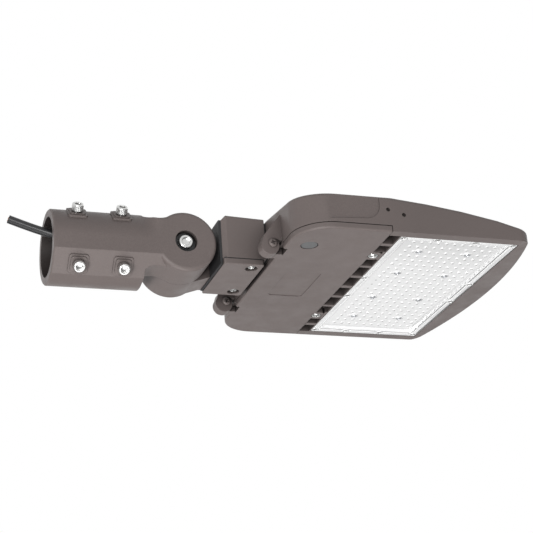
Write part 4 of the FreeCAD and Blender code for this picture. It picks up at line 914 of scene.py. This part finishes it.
def pillBar(settings, start, end, across, alongX=True):
    # long bar with round ends and a rounded top edge
    a = np.radians(np.linspace(-90, 90, settings["barArc"]))
    arc = np.stack([np.cos(a), np.sin(a)], -1)
    half = settings["barHalf"]
    rows = []
    for inset, rise in ((0.0, settings["barDip"]), *settings["barProfile"]):
        r = half - inset
        loop = np.vstack([arc * r + [end - half, 0], arc * [-1, -1] * r + [start + half, 0]])
        rows.append(np.column_stack([loop, np.full(len(loop), settings["face"] + rise)]))
    points = np.vstack(rows)
    if alongX:
        points = points + [0, across, 0]
    else:
        points = points[:, [1, 0, 2]] * [-1, 1, 1] + [across, 0, 0]
    count = len(rows[0])
    last = (len(rows) - 1) * count
    faces = gridFaces(len(rows), count, flip=True)
    faces.append(list(range(last, last + count))[::-1])
    return points, faces


def hangingBoss(settings, profile, base, spot):
    # a ring that hangs below its base height; turned inside out, since its heights run down
    rings = [(radius, base + rise) for radius, rise in profile]
    points, faces = ringStack(rings, fullTurn(settings["bossSides"]))
    return points + [*spot, 0], [f[::-1] for f in faces]


def makeLens(settings):
    parts = [lensBody(settings)]
    cap, capFaces = domeCap(settings)
    for x, y in ledSpots(settings, fieldSpots):
        parts.append((cap + [x, y, 0], capFaces))
    gap = settings["barGap"]
    screwX = settings["rimScrewX"]
    for side, middle in zip((-1, 1), endX):
        for a, b in zip(screwX, screwX[1:]):
            parts.append(pillBar(settings, a + gap, b - gap, side * rimY))
        for start, end in settings["endBars"]:
            parts.append(pillBar(settings, start, end, middle, alongX=False))
    for boss, base, spots in (("rimBoss", "face", rimSpots), ("fieldBoss", "fieldFace", fieldSpots)):
        parts += [hangingBoss(settings, settings[boss], settings[base], spot) for spot in spots]
    slotName = "lens_clear"
    piece = meshPiece("lensPanel", *joined(parts), materials[slotName], slotName, "head", ("lens_panel",))
    sharpen(piece, settings["sharp"])


makeLens(lens)
print("lens moulded")

# stage: a pale floor far below, soft lamps and a white surround
stage = {
    "floor": -2.8,
    "floorHalf": 6.0,
    "floorTones": (0.86, 0.90),
    "floorCloud": 0.8,
    "floorRough": 0.9,
    "world": 0.22,
    "aim": (0.25, 0.0, 0.0),
    "lamps": [
        # name, place, size, watts
        ("keyLamp", (-1.7, -2.0, -1.6), 0.7, 56.0),
        ("sideLamp", (-0.5, -2.3, -0.4), 0.7, 16.0),
        ("backLamp", (1.6, 1.8, 1.4), 1.4, 9.0),
        ("underLamp", (0.1, -0.2, -1.4), 1.2, 12.0),
    ],
}


def lightWorld(settings):
    # rays from the camera, and those seen in shine or through clear plastic, meet plain white
    world = bpy.data.worlds.new("studio")
    scene.world = world
    world.use_nodes = True
    tree = world.node_tree
    add = tree.nodes.new
    wire = tree.links.new
    soft = tree.nodes["Background"]
    seen = add("ShaderNodeBackground")
    for background, strength in ((soft, settings["world"]), (seen, 1.0)):
        background.inputs["Color"].default_value = (*white, 1.0)
        background.inputs["Strength"].default_value = strength
    path = add("ShaderNodeLightPath")
    cameraOrShine = add("ShaderNodeMath")
    cameraOrShine.operation = "MAXIMUM"
    wire(path.outputs["Is Camera Ray"], cameraOrShine.inputs[0])
    wire(path.outputs["Is Glossy Ray"], cameraOrShine.inputs[1])
    anySeen = add("ShaderNodeMath")
    anySeen.operation = "MAXIMUM"
    wire(cameraOrShine.outputs[0], anySeen.inputs[0])
    wire(path.outputs["Is Transmission Ray"], anySeen.inputs[1])
    mix = add("ShaderNodeMixShader")
    wire(anySeen.outputs[0], mix.inputs[0])
    wire(soft.outputs[0], mix.inputs[1])
    wire(seen.outputs[0], mix.inputs[2])
    wire(mix.outputs[0], tree.nodes["World Output"].inputs["Surface"])


def layFloor(settings):
    half = settings["floorHalf"]
    z = settings["floor"]
    corners = [(-half, -half, z), (half, -half, z), (half, half, z), (-half, half, z)]
    data = bpy.data.meshes.new("floor")
    data.from_pydata(corners, [], [(0, 1, 2, 3)])
    floor = bpy.data.objects.new("floor", data)
    scene.collection.objects.link(floor)
    s = Surface("paleFloor")
    tone = s.ramp(s.noise(settings["floorCloud"], 2.0), *[grey(t) for t in settings["floorTones"]])
    s.link(tone, "Color", s.shader, "Base Color")
    s.set(Roughness=settings["floorRough"])
    data.materials.append(s.material)


def hangLamps(settings):
    for name, spot, size, watts in settings["lamps"]:
        lamp = bpy.data.lights.new(name, "AREA")
        lamp.shape = "DISK"
        lamp.size = size
        lamp.energy = watts
        thing = bpy.data.objects.new(name, lamp)
        thing.location = spot
        aim = Vector(settings["aim"]) - Vector(spot)
        thing.rotation_euler = aim.to_track_quat("-Z", "Y").to_euler()
        thing.visible_camera = False
        scene.collection.objects.link(thing)


lightWorld(stage)
layFloor(stage)
hangLamps(stage)
print("stage lit")
